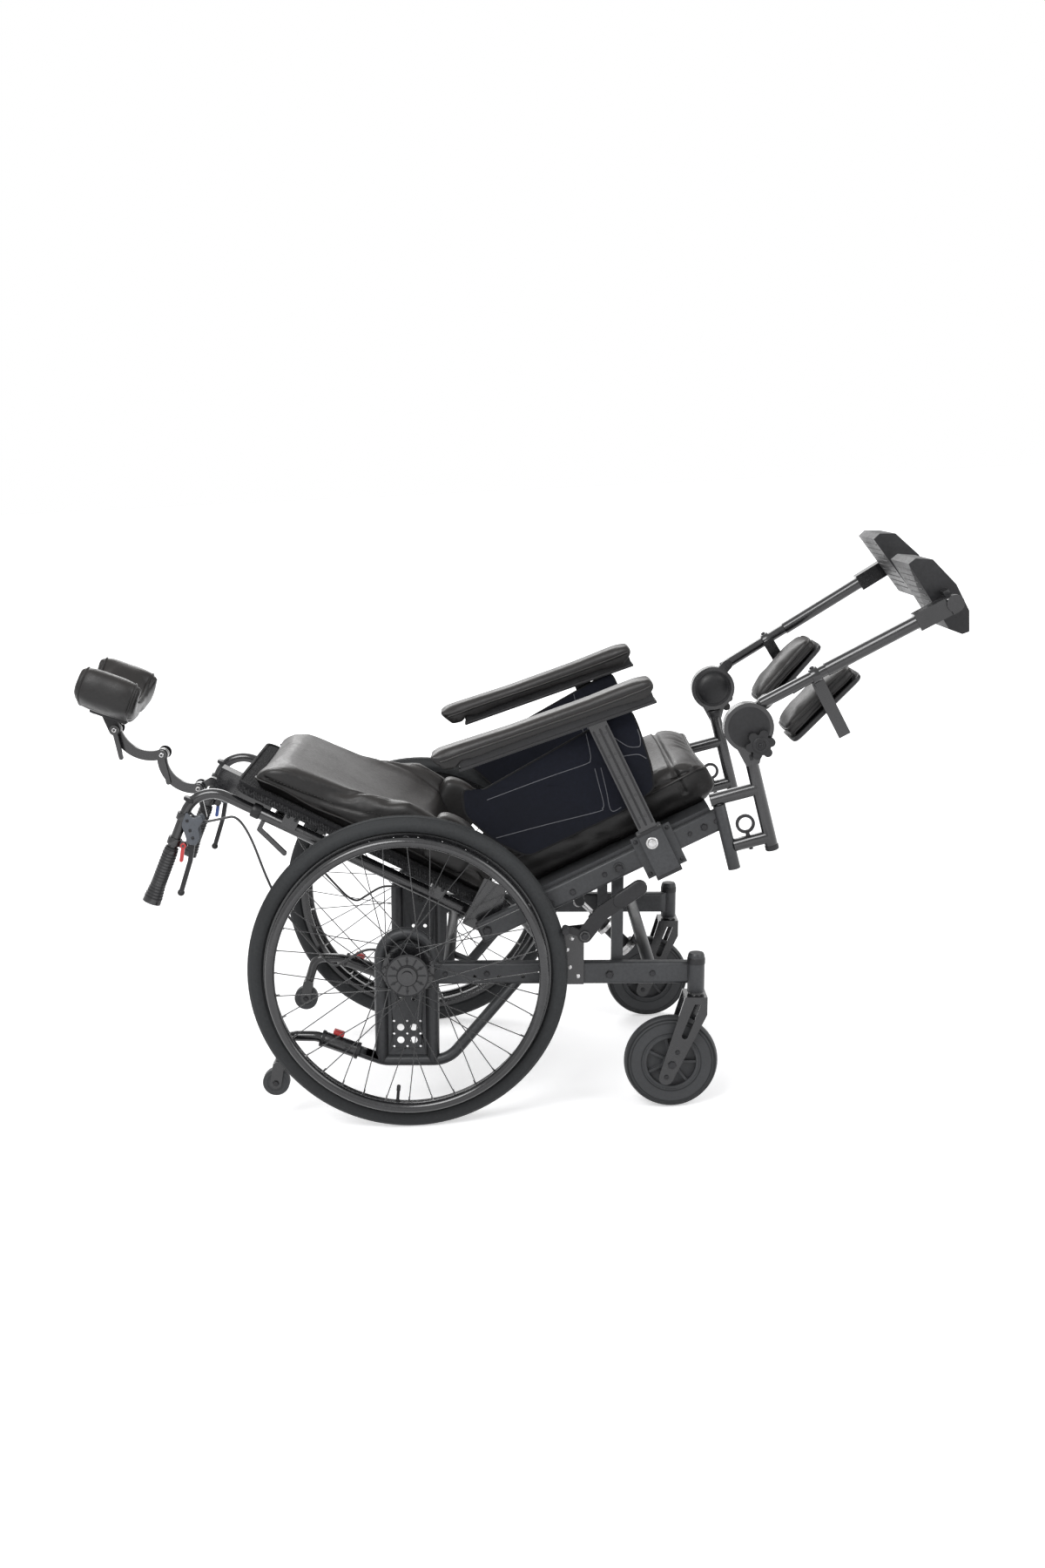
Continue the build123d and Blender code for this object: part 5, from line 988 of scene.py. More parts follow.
def side_panels(sizes):
    """Cloth panels under the arm pads, puffed both ways, with a bound edge and piped lines."""
    corners = [(-177.5, 247.5), (-200.0, 269.0), (-219.0, 222.0), (-190.0, 150.0), (-147.0, 96.0),
               (50.0, 96.0),
               (106.0, 104.0), (126.0, 109.0), (139.0, 148.0), (150.0, 234.0), (150.0, 269.4)]
    edge = rounded(corners, 16.0, 4)
    middle = Vector((-20.0, 190.0))
    puff = ((1.0, 0.7), (0.995, 1.9), (0.985, 2.7), (0.96, 3.2), (0.90, 3.0), (0.78, 3.5), (0.6, 4.2),
            (0.4, 4.6),
            (0.2, 4.8), (0.02, 4.8))
    front = [[(*(middle + (Vector(p) - middle) * share), PANEL_OUT + rise) for p in edge] for share,
             rise in puff]
    rear = [[(x, y, 2 * PANEL_OUT - out) for x, y, out in ring] for ring in reversed(front)]
    for hand, sign in HANDS.items():
        body = hand + "_armrest"
        form = Form(SEAT, sign)
        form.loft(rear + front)
        thing = piece(hand + "_panel_cloth", form, "cloth", body, 50.0)
        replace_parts(thing, hand + "_side_panel")
        at = drawn_in(SEAT, sign)
        ring = [at @ Vector((x, y, PANEL_OUT)) for x, y in edge]
        piece(hand + "_panel_binding", line_form(ring, 0.0027, 8, True), "binding", body)
        for label, out in (("outer", 294.0), ("inner", 282.0)):
            for number, line in enumerate(PANEL_SEAMS):
                path = on_surface(thing.data, smooth_path([at @ Vector((x, y, out)) for x, y in line], 8),
                                  0.0004)
                piece("%s_panel_%s_seam_%d" % (hand, label, number + 1),
                      line_form(path, sizes.piping * 0.36, 6),
                      "piping", body)


CALF_CORNERS = ((-88.0, 139.0), (88.0, 261.0))


def calf_pads(sizes):
    """Calf cushions with piping on their moulded shells."""
    for hand, sign in HANDS.items():
        node = hand + "_calf_pad"
        pivot = child(KNEE[hand], 155.0, -62.0, 17.5)
        edge = rectangle(*CALF_CORNERS, 20.0, 5)[::-1]
        pad = Form(pivot, sign)
        pad.loft([[(x, up, y) for x, y in shrunk(edge, -inset)] for inset, up in
                  ((10, 18.6), (3, 19.5), (0, 24), (0, 38), (3, 45), (9, 49), (20, 52), (38, 54),
                   (54, 55))])
        mesh = new_mesh(hand + "_calf_cover", pad.points, pad.faces)
        mesh = stuffed(hand + "_calf_cover", mesh, sizes.fine_voxel, 0.0025, 0.006)
        reshape(mesh, pivot, sign, lambda a, u, o: 0.6 * crease((a, o, u), 0.02, (1.0, 1.0, 1.0), 8.0)
                + groove(u - 43.0, 1.4, 2.0))
        cushion_piece(hand + "_calf_cover", mesh, node, node)
        at = drawn_in(pivot, sign)
        for number, up in enumerate((43.0, 22.0)):
            ring = rectangle(*CALF_CORNERS, 18.0, 5)
            seam_line("%s_calf_welt_%d" % (hand, number + 1), mesh,
                      [at @ Vector((x, up, y)) for x, y in ring], node, sizes.piping * 0.85, True,
                      WELT_LIFT)
        tray = Form(pivot, sign)
        tray.loft([[(x, up, y) for x, y in shrunk(edge, -inset)] for inset, up in
                   ((6, 10.0), (2, 10.6), (-1, 13), (-2, 19.5), (0, 20.5), (4, 19.5))])
        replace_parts(piece(hand + "_calf_shell", tray, "black", node), node)
        screws = [(pivot, sign, a, 10.2, o, UNDER, 3.6) for a in (-70.0, 64.0) for o in (160.0, 240.0)]
        socket_screws(hand + "_calf_screws", screws, node, "steel")


def route(points):
    """Points along the smooth line drawn by a few control points."""
    curve = bpy.data.curves.new("route", "CURVE")
    curve.dimensions = "3D"
    spline = curve.splines.new("NURBS")
    spline.points.add(len(points) - 1)
    for knot, p in zip(spline.points, points):
        knot.co = (*p, 1.0)
    spline.order_u = 3
    spline.use_endpoint_u = True
    spline.resolution_u = 14
    thing = new_object("route", curve)
    mesh = evaluated_mesh(thing, "route")
    result = [v.co.copy() for v in mesh.vertices]
    bpy.data.objects.remove(thing)
    bpy.data.meshes.remove(mesh)
    return result


def brake_cables(sizes):
    """Each brake cable in three lengths, which bend as the back and the seat move."""
    at = CHAIR_TO_ROW
    places = [(-415.6, 570.0, 215.0), (-372.0, 579.0, 216.0), (-321.9, 590.0, 218.0),
              (-262.0, 425.0, 240.0),
              (-205.0, 357.0, 250.5), (-150.0, 292.0, 261.0), (-119.0, 311.5, 262.5), (-88.0, 331.0, 264.0),
              (-60.0, 331.0, 264.0), (-37.5, 331.0, 264.0)]
    cuts = ((-250.0, 440.0), (-140.0, 300.0))
    for hand, sign in HANDS.items():
        line = route([at @ Vector((x, sign * y, z)) for x, z, y in places])
        ends = [0]
        for x, z in cuts:
            goal = at @ Vector((x, 0.0, z))
            ends.append(min(range(len(line)), key=lambda i: hypot(line[i].x - goal.x, line[i].z - goal.z)))
        ends.append(len(line) - 1)
        joined = (("upper", hand + "_push_handle", "back"), ("middle", "back", "seat"),
                  ("lower", "seat", "base"))
        for number, (label, first, second) in enumerate(joined):
            part = line[ends[number]:ends[number + 1] + 1]
            form = line_form(part, 0.0025, 10)
            mesh = new_mesh("%s_cable_%s" % (hand, label), form.points, form.faces)
            finish_mesh(mesh, "cable")
            thing = put_on(mesh.name, mesh, None)
            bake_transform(thing)
            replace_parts(thing, "brake_cables")


# ---------------------------------------------------------------- wheels
def tyres(sizes):
    """Tyres with a grooved tread, shoulder ribs and a bead line at the rim."""
    section = [(-10.0, 273.2), (-16.0, 277.0), (-18.0, 283.0), (-17.6, 288.5), (-16.4, 292.6),
               (-15.2, 294.0),
               (-14.9, 295.9), (-13.4, 298.2), (-11.0, 300.6), (-9.4, 301.9), (-8.8, 300.7), (-7.6, 301.0),
               (-7.0, 303.2), (-3.4, 304.7), (-2.6, 303.3), (-1.4, 303.3), (-0.8, 305.0), (0.8, 305.0)]
    mirrored = [(-h, r) for h, r in reversed(section[:-1])]
    inner = [(10.0, 271.5), (0.0, 270.0), (-10.0, 271.5)]
    for hand, sign in HANDS.items():
        form = Form(AXLE, sign)
        form.lathe((0, 0, 334.0), (0, 0, 1), section + mirrored[1:] + inner, 120, True)
        thing = piece(hand + "_tread_tyre", form, "rubber", hand + "_wheel")
        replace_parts(thing, hand + "_tyre")


SPOKES = 36
WHEEL_OUT = 334.0
HUB_FACE = 357.0
VALVE_TURN = -95.0
CASTER_AXLE = (507.5, 115.3)
TIPPER_WHEEL = (-261.0, 71.0)
TIPPER_OUT = 280.0
TIPPER_BUTTON = (-30.0, 13.0, TIPPER_OUT)
GRIP_OUT = 215.0
FRAME_FACE = 292.3
HEIGHT_BUTTON = (78.0, 21.0)
KNEE_AT = (88.0, 132.5)
KNOB_AT = (99.8, 97.9)


def made(name, side, sign, look, body, turned=(), plates=(), smooth=38.0):
    """A piece of turned forms (centre, axis, profile, sides) and plates (outline, low, high, edge)."""
    form = Form(side, sign)
    for one in turned:
        form.lathe(*one)
    for one in plates:
        form.slab(*one)
    return piece(name, form, look, body, smooth)


def outer(side, sign, out, places):
    """Places on an outer face, from each one's along, up and radius."""
    return [(side, sign, along, up, out, OUTWARD, radius) for along, up, radius in places]


def wheel_details(sizes):
    """Nipples at the rim, hub screws, cover ribs, valve stem and the handrim's screws."""
    nipple = ((-9.0, 1.3), (-3.0, 1.7), (-2.6, 2.3), (0.5, 2.4), (1.0, 1.0))
    washer = ((0, 6.6), (1.6, 6.6), (2.4, 5.6), (2.4, 4.3))
    valve = ((0, 4.2), (2.0, 4.2), (3.0, 3.0), (20.0, 3.0), (20.4, 3.8), (30.0, 3.8), (31.5, 2.6),
             (31.6, 0.1))
    sixths = [radians(60 * k + 30) for k in range(6)]
    for hand, sign in HANDS.items():
        body = hand + "_wheel"
        on_ring(hand + "_spoke_nipples", AXLE, sign, WHEEL_OUT, nipple, SPOKES, 257.0, "steel", body)
        dots = [(264.5 * cos(radians(10 * k + 5)), 264.5 * sin(radians(10 * k + 5)), 1.9)
                for k in range(SPOKES)]
        on_places(hand + "_rim_eyelets", outer(AXLE, sign, 345.6, dots), RIVET, "steel", body, 8)
        form = Form(AXLE, sign)
        for k in range(12):
            a = radians(30 * k)
            form.loft([[(cos(a) * r - sin(a) * w, sin(a) * r + cos(a) * w, HUB_FACE + h)
                        for w, h in ((-1.6, 0), (1.6, 0), (1.2, 1.8), (-1.2, 1.8))] for r in (20.0, 36.0)])
        form.lathe((0, 0, 354.0), OUTWARD, ((0, 41.0), (2.2, 41.0), (3.6, 39.6), (3.6, 38.0), (0, 38.0)),
                   48, True)
        form.lathe((0, 0, HUB_FACE), OUTWARD, ((0, 20.5), (3.2, 20.5), (4.4, 19.4), (4.4, 18.2), (0, 18.2)),
                   40,
                   True)
        piece(hand + "_hub_cover_ribs", form, "black", body)
        screws = [(29.5 * cos(a), 29.5 * sin(a), 3.0) for a in sixths]
        socket_screws(hand + "_hub_screws", outer(AXLE, sign, 357.4, screws), body)
        made(hand + "_handrim_washers", AXLE, sign, "rim", body,
             [((262.0 * cos(a), 262.0 * sin(a), 345.8), OUTWARD, washer, 20) for a in sixths])
        a = radians(VALVE_TURN)
        start = Vector((cos(a), sin(a), 0)) * 256.5 + Vector((0, 0, WHEEL_OUT))
        made(hand + "_valve_stem", AXLE, sign, "black", body, [(start, (-cos(a), -sin(a), 0), valve, 14)])


def caster_details(sizes):
    """Fork screws, rings on the casters' tyres and bearing covers."""
    cover = ((-8.0, 17.0), (-2.0, 17.0), (0.0, 15.0), (0.4, 9.0))
    turns = [2 * pi * k / 72 for k in range(72)]
    x, z = CASTER_AXLE
    for hand, sign in HANDS.items():
        screws = [(FORK, sign, a, 0.0, out, way, r) for out, way in ((323.4, OUTWARD), (262.6, INWARD))
                  for a, r in ((-27.0, 4.4), (0.0, 7.2), (27.0, 4.4))]
        hex_bolts(hand + "_fork_screws", screws, hand + "_caster")
        rings = Form(CHAIR, sign)
        for out in (307.6, 278.4):
            for radius in (86.0, 79.0, 58.0):
                rings.tube([(x + radius * cos(a), z + radius * sin(a), out) for a in turns], 1.3, 6, True)
        piece(hand + "_caster_face_rings", rings, "rubber", hand + "_caster_wheel")
        made(hand + "_caster_bearing_covers", CHAIR, sign, "grey", hand + "_caster_wheel",
             [((x, z, out), way, cover, 28) for out, way in ((313.2, OUTWARD), (272.8, INWARD))])


def antitip_details(sizes):
    """Red release buttons with their collars, rings and bolts of the wheels, and socket screws."""
    for hand, sign in HANDS.items():
        body = hand + "_antitip"
        made(hand + "_antitip_button", TIPPER, sign, "red", body,
             [(TIPPER_BUTTON, UPWARD, ((0, 6.0), (6.6, 6.0), (8.2, 5.0), (8.6, 3.0)), 20)],
             [(rectangle((-41.0, 17.5), (-19.0, 25.5), 3.0), 271.0, 289.0, 1.8)])
        ends = [((along, 0.0, TIPPER_OUT), FOREWARD, ((-3.0, 16.6), (3.0, 16.6)), 28)
                for along in (16.0, -56.0)]
        made(hand + "_antitip_collars", TIPPER, sign, "black", "base",
             [(TIPPER_BUTTON, UPWARD, ((0, 8.6), (2.6, 8.6), (3.4, 7.8), (3.4, 6.4)), 24), *ends])
        rings = [((*TIPPER_WHEEL, out), way, ((-2.0, high), (0.8, high), (1.2, high - 0.6),
                                              (1.2, low + 0.6),
                                              (0.8, low), (-2.0, low)), 36, True)
                 for out, way in ((290.0, OUTWARD), (270.0, INWARD)) for low,
                 high in ((9.0, 13.0), (17.0, 20.0))]
        made(hand + "_antitip_wheel_rings", CHAIR, sign, "grey", hand + "_antitip_wheel", rings)
        caps = [(CHAIR, sign, *TIPPER_WHEEL, out, way, 5.6) for out,
                way in ((294.3, OUTWARD), (265.7, INWARD))]
        hex_bolts(hand + "_antitip_bolts", caps, body)
        sockets = outer(TIPPER, sign, 294.6, ((-6.0, 0.0, 4.0), (-46.0, 0.0, 4.0)))
        socket_screws(hand + "_antitip_socket_screws", sockets, "base")


# ---------------------------------------------------------------- levers and handles
def handle_details(sizes):
    """Grip ribs and collars, the moulded covers of the brake levers and their screws."""
    wing = rounded([(58.0, 2.0), (86.0, 2.0), (100.0, 14.0), (118.0, 28.0), (114.0, 44.0), (94.0, 44.0),
                    (80.0, 34.0), (62.0, 40.0), (54.0, 30.0), (66.0, 20.0)], 6.0, 4)
    rib = ((-0.14, 0.9), (-0.07, 1.05), (0.07, 1.05), (0.14, 0.9))
    collar = ((-4.0, 11.4), (-3.0, 13.0), (3.0, 13.0), (4.0, 11.4))
    barrel = ((-1.5, 6.5), (0.0, 7.5), (19.6, 7.5), (21.1, 6.5))
    ferrule = ((0, 4.6), (10.0, 4.6), (11.0, 3.6), (24.0, 3.2), (25.0, 2.7))
    cable_end, cable_way = Vector((-414.9, 570.5, GRIP_OUT)), Vector((0.979, 0.205, 0.0))
    grip_radius, flare_from = 14.2, 215.0
    for hand, sign in HANDS.items():
        body = hand + "_push_handle"
        ribs = [(GRIP, sign, a, 0.0, GRIP_OUT, FOREWARD, grip_radius + max(0.0,
                                                                           a - flare_from) / 40.0 * 4.4)
                for a in (150.0 + 6.2 * k for k in range(16))]
        on_places(hand + "_grip_ribs", ribs, rib, "black", body, 24)
        made(hand + "_brake_lever_covers", GRIP, sign, "housing", body,
             plates=[(wing, low, high, 1.8) for low, high in ((225.0, 229.5), (200.5, 205.0))])
        screws = [(GRIP, sign, a, u, out, way, 3.2) for a, u in ((74.0, 10.0), (90.0, 22.0), (102.0, 32.0))
                  for out, way in ((229.4, OUTWARD), (200.6, INWARD))]
        socket_screws(hand + "_brake_lever_screws", screws, body)
        collars = [((along, 0, GRIP_OUT), FOREWARD, collar, 28) for along in (36.0, 140.0)]
        made(hand + "_handle_collars", GRIP, sign, "black", body,
             [*collars, ((102.0, 32.0, 205.2), OUTWARD, barrel, 24)])
        made(hand + "_cable_ferrule", CHAIR, sign, "bolt", body,
             [(cable_end - cable_way * 3, cable_way, ferrule, 16)])


def headrest_levers(sizes):
    """Washers and screws of the headrest's three clamps."""
    washer = ((0, 12.6), (1.0, 13.4), (3.4, 13.4), (4.4, 12.6))
    for label, along, up, body in (("low", -631.0, -56.0, "headrest_post"),
                                   ("mid", -726.4, -24.9, "headrest_lower_link"),
                                   ("high", -833.5, -20.3, "headrest_upper_link")):
        made("headrest_%s_washer" % label, BACK, -1.0, "bolt", body,
             [((along, up, -22.5), OUTWARD, washer, 32)])
        heads = [(BACK, 1.0, along, up, 24.2, OUTWARD, 4.4), (BACK, -1.0, along, up, 22.2, OUTWARD, 5.4)]
        socket_screws("headrest_%s_screws" % label, heads, body, "steel")


def parking_brake_details(sizes):
    """Rubber handle sleeves, pivot bolts, shoe rubbers and the bracket's rivets."""
    sleeve = bar((404.0, 442.3), (440.1, 467.2), 30.4, 8)
    rubber = ((0, 6.4), (0.6, 7.0), (3.4, 7.0), (4.0, 6.2), (6.6, 6.2), (7.2, 7.0), (10.6, 7.0),
              (11.2, 6.2),
              (13.8, 6.2), (14.4, 7.0), (25.0, 7.0), (26.6, 5.4))
    rivets = [(x, z, 4.0) for x, z in ((314, 361), (305, 339), (310, 304), (326, 286))]
    for hand, sign in HANDS.items():
        body = hand + "_parking_brake"
        made(hand + "_brake_handle_sleeve", CHAIR, sign, "black", body,
             plates=[(sleeve, 318.4, 331.6, 3.6)],
             smooth=55.0)
        made(hand + "_brake_shoe_rubber", CHAIR, sign, "rubber", body,
             [((300.0, 388.2, 326.0), OUTWARD, rubber, 20)])
        hex_bolts(hand + "_brake_pivot_bolt", outer(CHAIR, sign, 334.3, [(337.0, 375.0, 6.4)]), "base")
        on_places(hand + "_brake_bracket_rivets", outer(CHAIR, sign, 298.4, rivets), RIVET, "steel", "base",
                  14)


# ---------------------------------------------------------------- arms, seat and back
def armrest_details(sizes):
    """Grooved faces of the uprights, height holes, silver button rings and flange screws."""
    ridges = [(rectangle((a - 2.2, 56.0), (a + 2.2, 262.0), 2.0), 314.2, 315.8, 0.6)
              for a in (70.0, 83.0, 96.0)]
    holes = [(a, 74.0 + 44.0 * k, 2.0) for a in (76.5, 89.5) for k in range(5)]
    screws = [(83.0 + a, n, 4.2) for a in (-33.5, 33.5) for n in (-36.0, 32.0)]
    rings = [((*HEIGHT_BUTTON, 316.8), OUTWARD, ((0, 11.6), (1.2, 11.6), (2.0, 10.6), (2.0, 8.4)), 32),
             ((*HEIGHT_BUTTON, 319.6), OUTWARD, ((0, 7.9), (1.4, 7.4), (2.2, 5.6), (2.5, 2.8), (2.6, 0.1)),
              28)]
    lips = [(rectangle((57.0, n - 3.0), (109.0, n + 3.0), 2.0), 291.0, 319.0, 1.2) for n in (-47.0, 44.5)]
    for hand, sign in HANDS.items():
        body = hand + "_armrest"
        made(hand + "_upright_ridges", SEAT, sign, "black", body, plates=ridges)
        on_places(hand + "_upright_holes", outer(SEAT, sign, 314.3, holes), EYELET, "black", body)
        socket_screws(hand + "_arm_socket_screws", outer(SEAT, sign, 298.3, screws), "seat")
        made(hand + "_height_button_ring", SEAT, sign, "steel", "seat", rings)
        made(hand + "_arm_socket_lips", SEAT, sign, "black", "seat", plates=lips)


def seat_details(sizes):
    """Bolts and end caps of the seat rails, bolts of the base rails and caps of the caster stems."""
    seat_bolts = ((-146.0, -6.0, 5.6), (-99.5, -4.0, 5.6), (-30.0, 0.0, 4.6), (180.0, 0.0, 6.2),
                  (150.0, 0.0, 4.2), (205.0, 0.0, 4.2))
    base_bolts = ((150.3, 290.0, 5.2), (387.0, 288.0, 7.0), (70.0, 290.0, 4.6), (470.0, 290.0, 5.4))
    stem_cap = ((-12.0, 17.4), (-2.0, 17.4), (2.0, 15.8), (5.0, 11.0), (6.4, 4.0))
    for hand, sign in HANDS.items():
        hex_bolts(hand + "_seat_rail_bolts", outer(SEAT, sign, FRAME_FACE, seat_bolts), "seat")
        hex_bolts(hand + "_base_rail_bolts", outer(CHAIR, sign, FRAME_FACE, base_bolts), "base")
        made(hand + "_seat_rail_cap", SEAT, sign, "black", "seat",
             plates=[(rectangle((-296.5, -19.0), (-290.5, 19.0), 2.0), 269.5, 291.5, 1.6)])
        hex_bolts(hand + "_tilt_pivot_bolt", outer(CHAIR, sign, 296.8, [(*SEAT[:2], 7.6)]), "base")
        made(hand + "_caster_stem_cap", CHAIR, sign, "black", "base",
             [((554.0, 322.0, 293.0), UPWARD, stem_cap, 32)])


def spring_collars(sizes):
    """Rings on the tilt and recline gas springs."""
    collar = ((-0.004, 0.0133), (-0.003, 0.0148), (0.003, 0.0148), (0.004, 0.0133))
    for spring in ("tilt_spring", "recline_spring"):
        start, end = spring_line(spring)
        way = (end - start).normalized()
        form = row_form()
        for share in (0.10, 0.14, 0.48):
            form.lathe(start.lerp(end, share), way, collar, 28)
        piece(spring + "_collars", form, "steel", spring + "_cylinder")


def spring_line(name):
    """Ends of a spring, as the middle of its cylinder and rod meshes' far ends."""
    points, others = ([v.co for v in frame["nodes"][name + part].data.vertices]
                      for part in ("_cylinder", "_rod"))
    centre = sum(points, Vector()) / len(points)
    other = sum(others, Vector()) / len(others)
    way = (other - centre).normalized()
    near = min((p - centre).dot(way) for p in points)
    far = max((p - centre).dot(way) for p in others)
    return centre + way * near, centre + way * far


def back_details(sizes):
    """Saddle and hinge screws, plugs of the back tubes and the head block's bolts."""
    saddles = [(-place + a, 20.0, 3.6) for place in (115.0, 430.0) for a in (-8.0, 8.0)]
    collar = ((-16.0, 13.4), (-14.0, 14.6), (0.0, 14.6), (2.0, 13.4))
    for hand, sign in HANDS.items():
        socket_screws(hand + "_saddle_screws", outer(BACK, sign, 230.0, saddles), "back")
        hex_bolts(hand + "_recline_pivot_bolt", outer(SEAT, sign, FRAME_FACE, [(-280.0, 0.0, 8.2)]), "seat")
        made(hand + "_back_tube_collar", BACK, sign, "black", "back",
             [((-505.0, 0.0, GRIP_OUT), (-1, 0, 0), collar, 32)])
    block = [(BACK, -1.0, -place, -48.2, out, UNDER, 4.0) for place in (572.0, 596.0)
             for out in (-12.0, 12.0)]
    socket_screws("head_block_screws", block, "back")


# ---------------------------------------------------------------- legs
def knee_details(sizes):
    """Domed caps inside the knees, the star knob's centre, the hangers' collars and calf bar eyelets."""
    dome = ((0.0, 40.0), (1.5, 39.0), (2.0, 36.5), (1.2, 35.5), (1.2, 34.0), (4.2, 31.0), (7.0, 24.0),
            (8.6, 15.0), (9.2, 6.0), (9.3, 0.1))
    cap = ((0.0, 40.0), (1.0, 39.4), (1.6, 37.0), (1.0, 35.0), (1.0, 10.0))
    knob = ((0.0, 15.5), (1.6, 15.0), (2.6, 13.0), (2.6, 9.6), (1.4, 8.8), (1.4, 0.1))
    collars = [((79.0, 83.5, 293.0), UNDER, ((0.0, 14.0), (2.0, 15.0), (12.0, 15.0), (14.0, 13.6)), 30),
               ((79.0, -108.0, 293.0), UNDER, ((-8.0, 13.2), (0.0, 13.2), (2.0, 11.5), (2.6, 6.0)), 30)]
    for hand, sign in HANDS.items():
        arm, knee = hand + "_elevating_arm", KNEE[hand]
        made(hand + "_knee_inner_cap", SWING, sign, "black", arm, [((*KNEE_AT, 278.4), INWARD, dome, 48)])
        made(hand + "_knee_outer_cap", SWING, sign, "black", hand + "_hanger",
             [((*KNEE_AT, 307.0), OUTWARD, cap, 48)])
        made(hand + "_knob_face", SWING, sign, "black", hand + "_knob",
             [((*KNOB_AT, 323.6), OUTWARD, knob, 36)])
        socket_screws(hand + "_knob_screw", outer(SWING, sign, 325.2, [(*KNOB_AT, 4.6)]), hand + "_knob")
        eyelets = [(knee, sign, 155.0, -96.0 + 14.0 * k, 276.2, INWARD, 3.4) for k in range(7)]
        on_places(hand + "_calf_bar_eyelets", eyelets, EYELET, "black", arm, 14)
        socket_screws(hand + "_calf_clamp_screw", [(knee, sign, 155.0, 43.0, 293.0, UPWARD, 4.6)], arm)
        made(hand + "_hanger_collars", SWING, sign, "black", hand + "_hanger", collars)


def footplate_details(sizes):
    """Ribs on the footplates, their heel edges and the screws and knob under the hinges."""
    for hand in HANDS:
        body = hand + "_footplate"
        ribs = row_form()
        origin, across, fore, normal = footplate_frame(hand)
        for k in range(9):
            a = -58.0 + 14.0 * k
            start = origin + across * -0.062 + fore * a * 0.001 + normal * 0.0002
            end = origin + across * 0.062 + fore * a * 0.001 + normal * 0.0002
            ribs.tube([start, end], 0.0011, 6)
        piece(hand + "_footplate_ribs", ribs, "black", body)


def footplate_frame(hand):
    """Middle, two directions and normal of a footplate's upper face, found from its mesh."""
    mesh = frame["nodes"][hand + "_footplate"].data
    total = {}
    for face in mesh.polygons:
        key = tuple(round(c, 2) for c in face.normal)
        total[key] = total.get(key, 0.0) + face.area
    key = max((k for k in total if k[2] > 0.15 or k[0] < -0.5), key=lambda k: total[k])
    normal = Vector(key).normalized()
    faces = [f for f in mesh.polygons if tuple(round(c, 2) for c in f.normal) == key]
    area = sum(f.area for f in faces)
    middle = sum((f.center * f.area for f in faces), Vector()) / area
    across = Vector((0, 1, 0))
    across = (across - normal * across.dot(normal)).normalized()
    return middle, across, normal.cross(across), normal


# ---------------------------------------------------------------- stage and camera
def background_rays(tree):
    """1 for the rays that should see a white background: from the camera, off gloss and through glass."""
    path = add_node(tree, "ShaderNodeLightPath")
    seen = math_node(tree, "MAXIMUM", path.outputs["Is Camera Ray"], path.outputs["Is Glossy Ray"])
    return math_node(tree, "MAXIMUM", seen, path.outputs["Is Transmission Ray"])


def floor_material():
    """Pale floor that is white where nothing shades it and keeps the chair's shadow."""
    material = bpy.data.materials.new("studio_floor")
    material.use_nodes = True
    tree = material.node_tree
    shader = tree.nodes["Principled BSDF"]
    shader.inputs["Base Color"].default_value = (0.80, 0.80, 0.81, 1.0)
    shader.inputs["Roughness"].default_value = 0.9
    place = add_node(tree, "ShaderNodeTexCoord").outputs["Object"]
    far = add_node(tree, "ShaderNodeVectorMath", {0: place}, operation="LENGTH")
    glow = add_node(tree, "ShaderNodeMapRange", {"Value": far.outputs["Value"], "From Min": 1.4,
                                                 "From Max": 5.0,
                                                 "To Min": 0.45, "To Max": 1.0})
    strength = math_node(tree, "MULTIPLY", background_rays(tree), glow.outputs[0])
    shader.inputs["Emission Color"].default_value = (1.0, 1.0, 1.0, 1.0)
    tree.links.new(strength, shader.inputs["Emission Strength"])
    return material


def studio_world():
    world = bpy.data.worlds.new("studio")
    world.use_nodes = True
    tree = world.node_tree
    background = tree.nodes["Background"]
    strength = add_node(tree, "ShaderNodeMapRange", {"Value": background_rays(tree), "To Min": 0.55,
                                                     "To Max": 1.0})
    background.inputs["Color"].default_value = (1.0, 1.0, 1.0, 1.0)
    tree.links.new(strength.outputs[0], background.inputs["Strength"])
    bpy.context.scene.world = world


def area_lamp(name, place, goal, size, power):
    data = bpy.data.lights.new(name, "AREA")
    data.shape = "DISK"
    data.size = size
    data.energy = power
    lamp = new_object(name, data)
    lamp.location = place
    lamp.rotation_euler = (Vector(goal) - Vector(place)).to_track_quat("-Z", "Y").to_euler()


CAMERA_PLACE = (176.2, -3690.3, 1274.9)
CAMERA_PITCH, CAMERA_YAW = 10.232, 0.7217
LENS, SENSOR = 41.89, 36.0


def camera():
    """Camera at the photograph's place, turned with the chair's lean."""
    pitch, yaw = radians(CAMERA_PITCH), radians(CAMERA_YAW)
    forward = Vector((sin(yaw) * cos(pitch), cos(yaw) * cos(pitch), -sin(pitch)))
    right = forward.cross(Vector((0, 0, 1))).normalized()
    turn = CHAIR_TO_ROW.to_3x3()
    forward, right = (turn @ forward).normalized(), (turn @ right).normalized()
    up = right.cross(forward)
    data = bpy.data.cameras.new("camera")
    data.lens, data.sensor_width = LENS, SENSOR
    view = new_object("camera", data)
    view.matrix_world = Matrix.Translation(CHAIR_TO_ROW @ Vector(CAMERA_PLACE)) @ Matrix(
        (right, up, -forward)).transposed().to_4x4()
    bpy.context.scene.camera = view


FLOOR_REACH = 60.0
LAMPS = (("key", (-1.6, -3.4, 3.6), (0.0, 0.0, 0.6), 2.6, 150.0),
         ("fill", (3.4, -2.2, 2.6), (0.0, 0.0, 0.5), 3.0, 70.0),
         ("rear", (-1.0, 3.4, 3.2), (0.0, 0.0, 0.7), 3.0, 90.0))


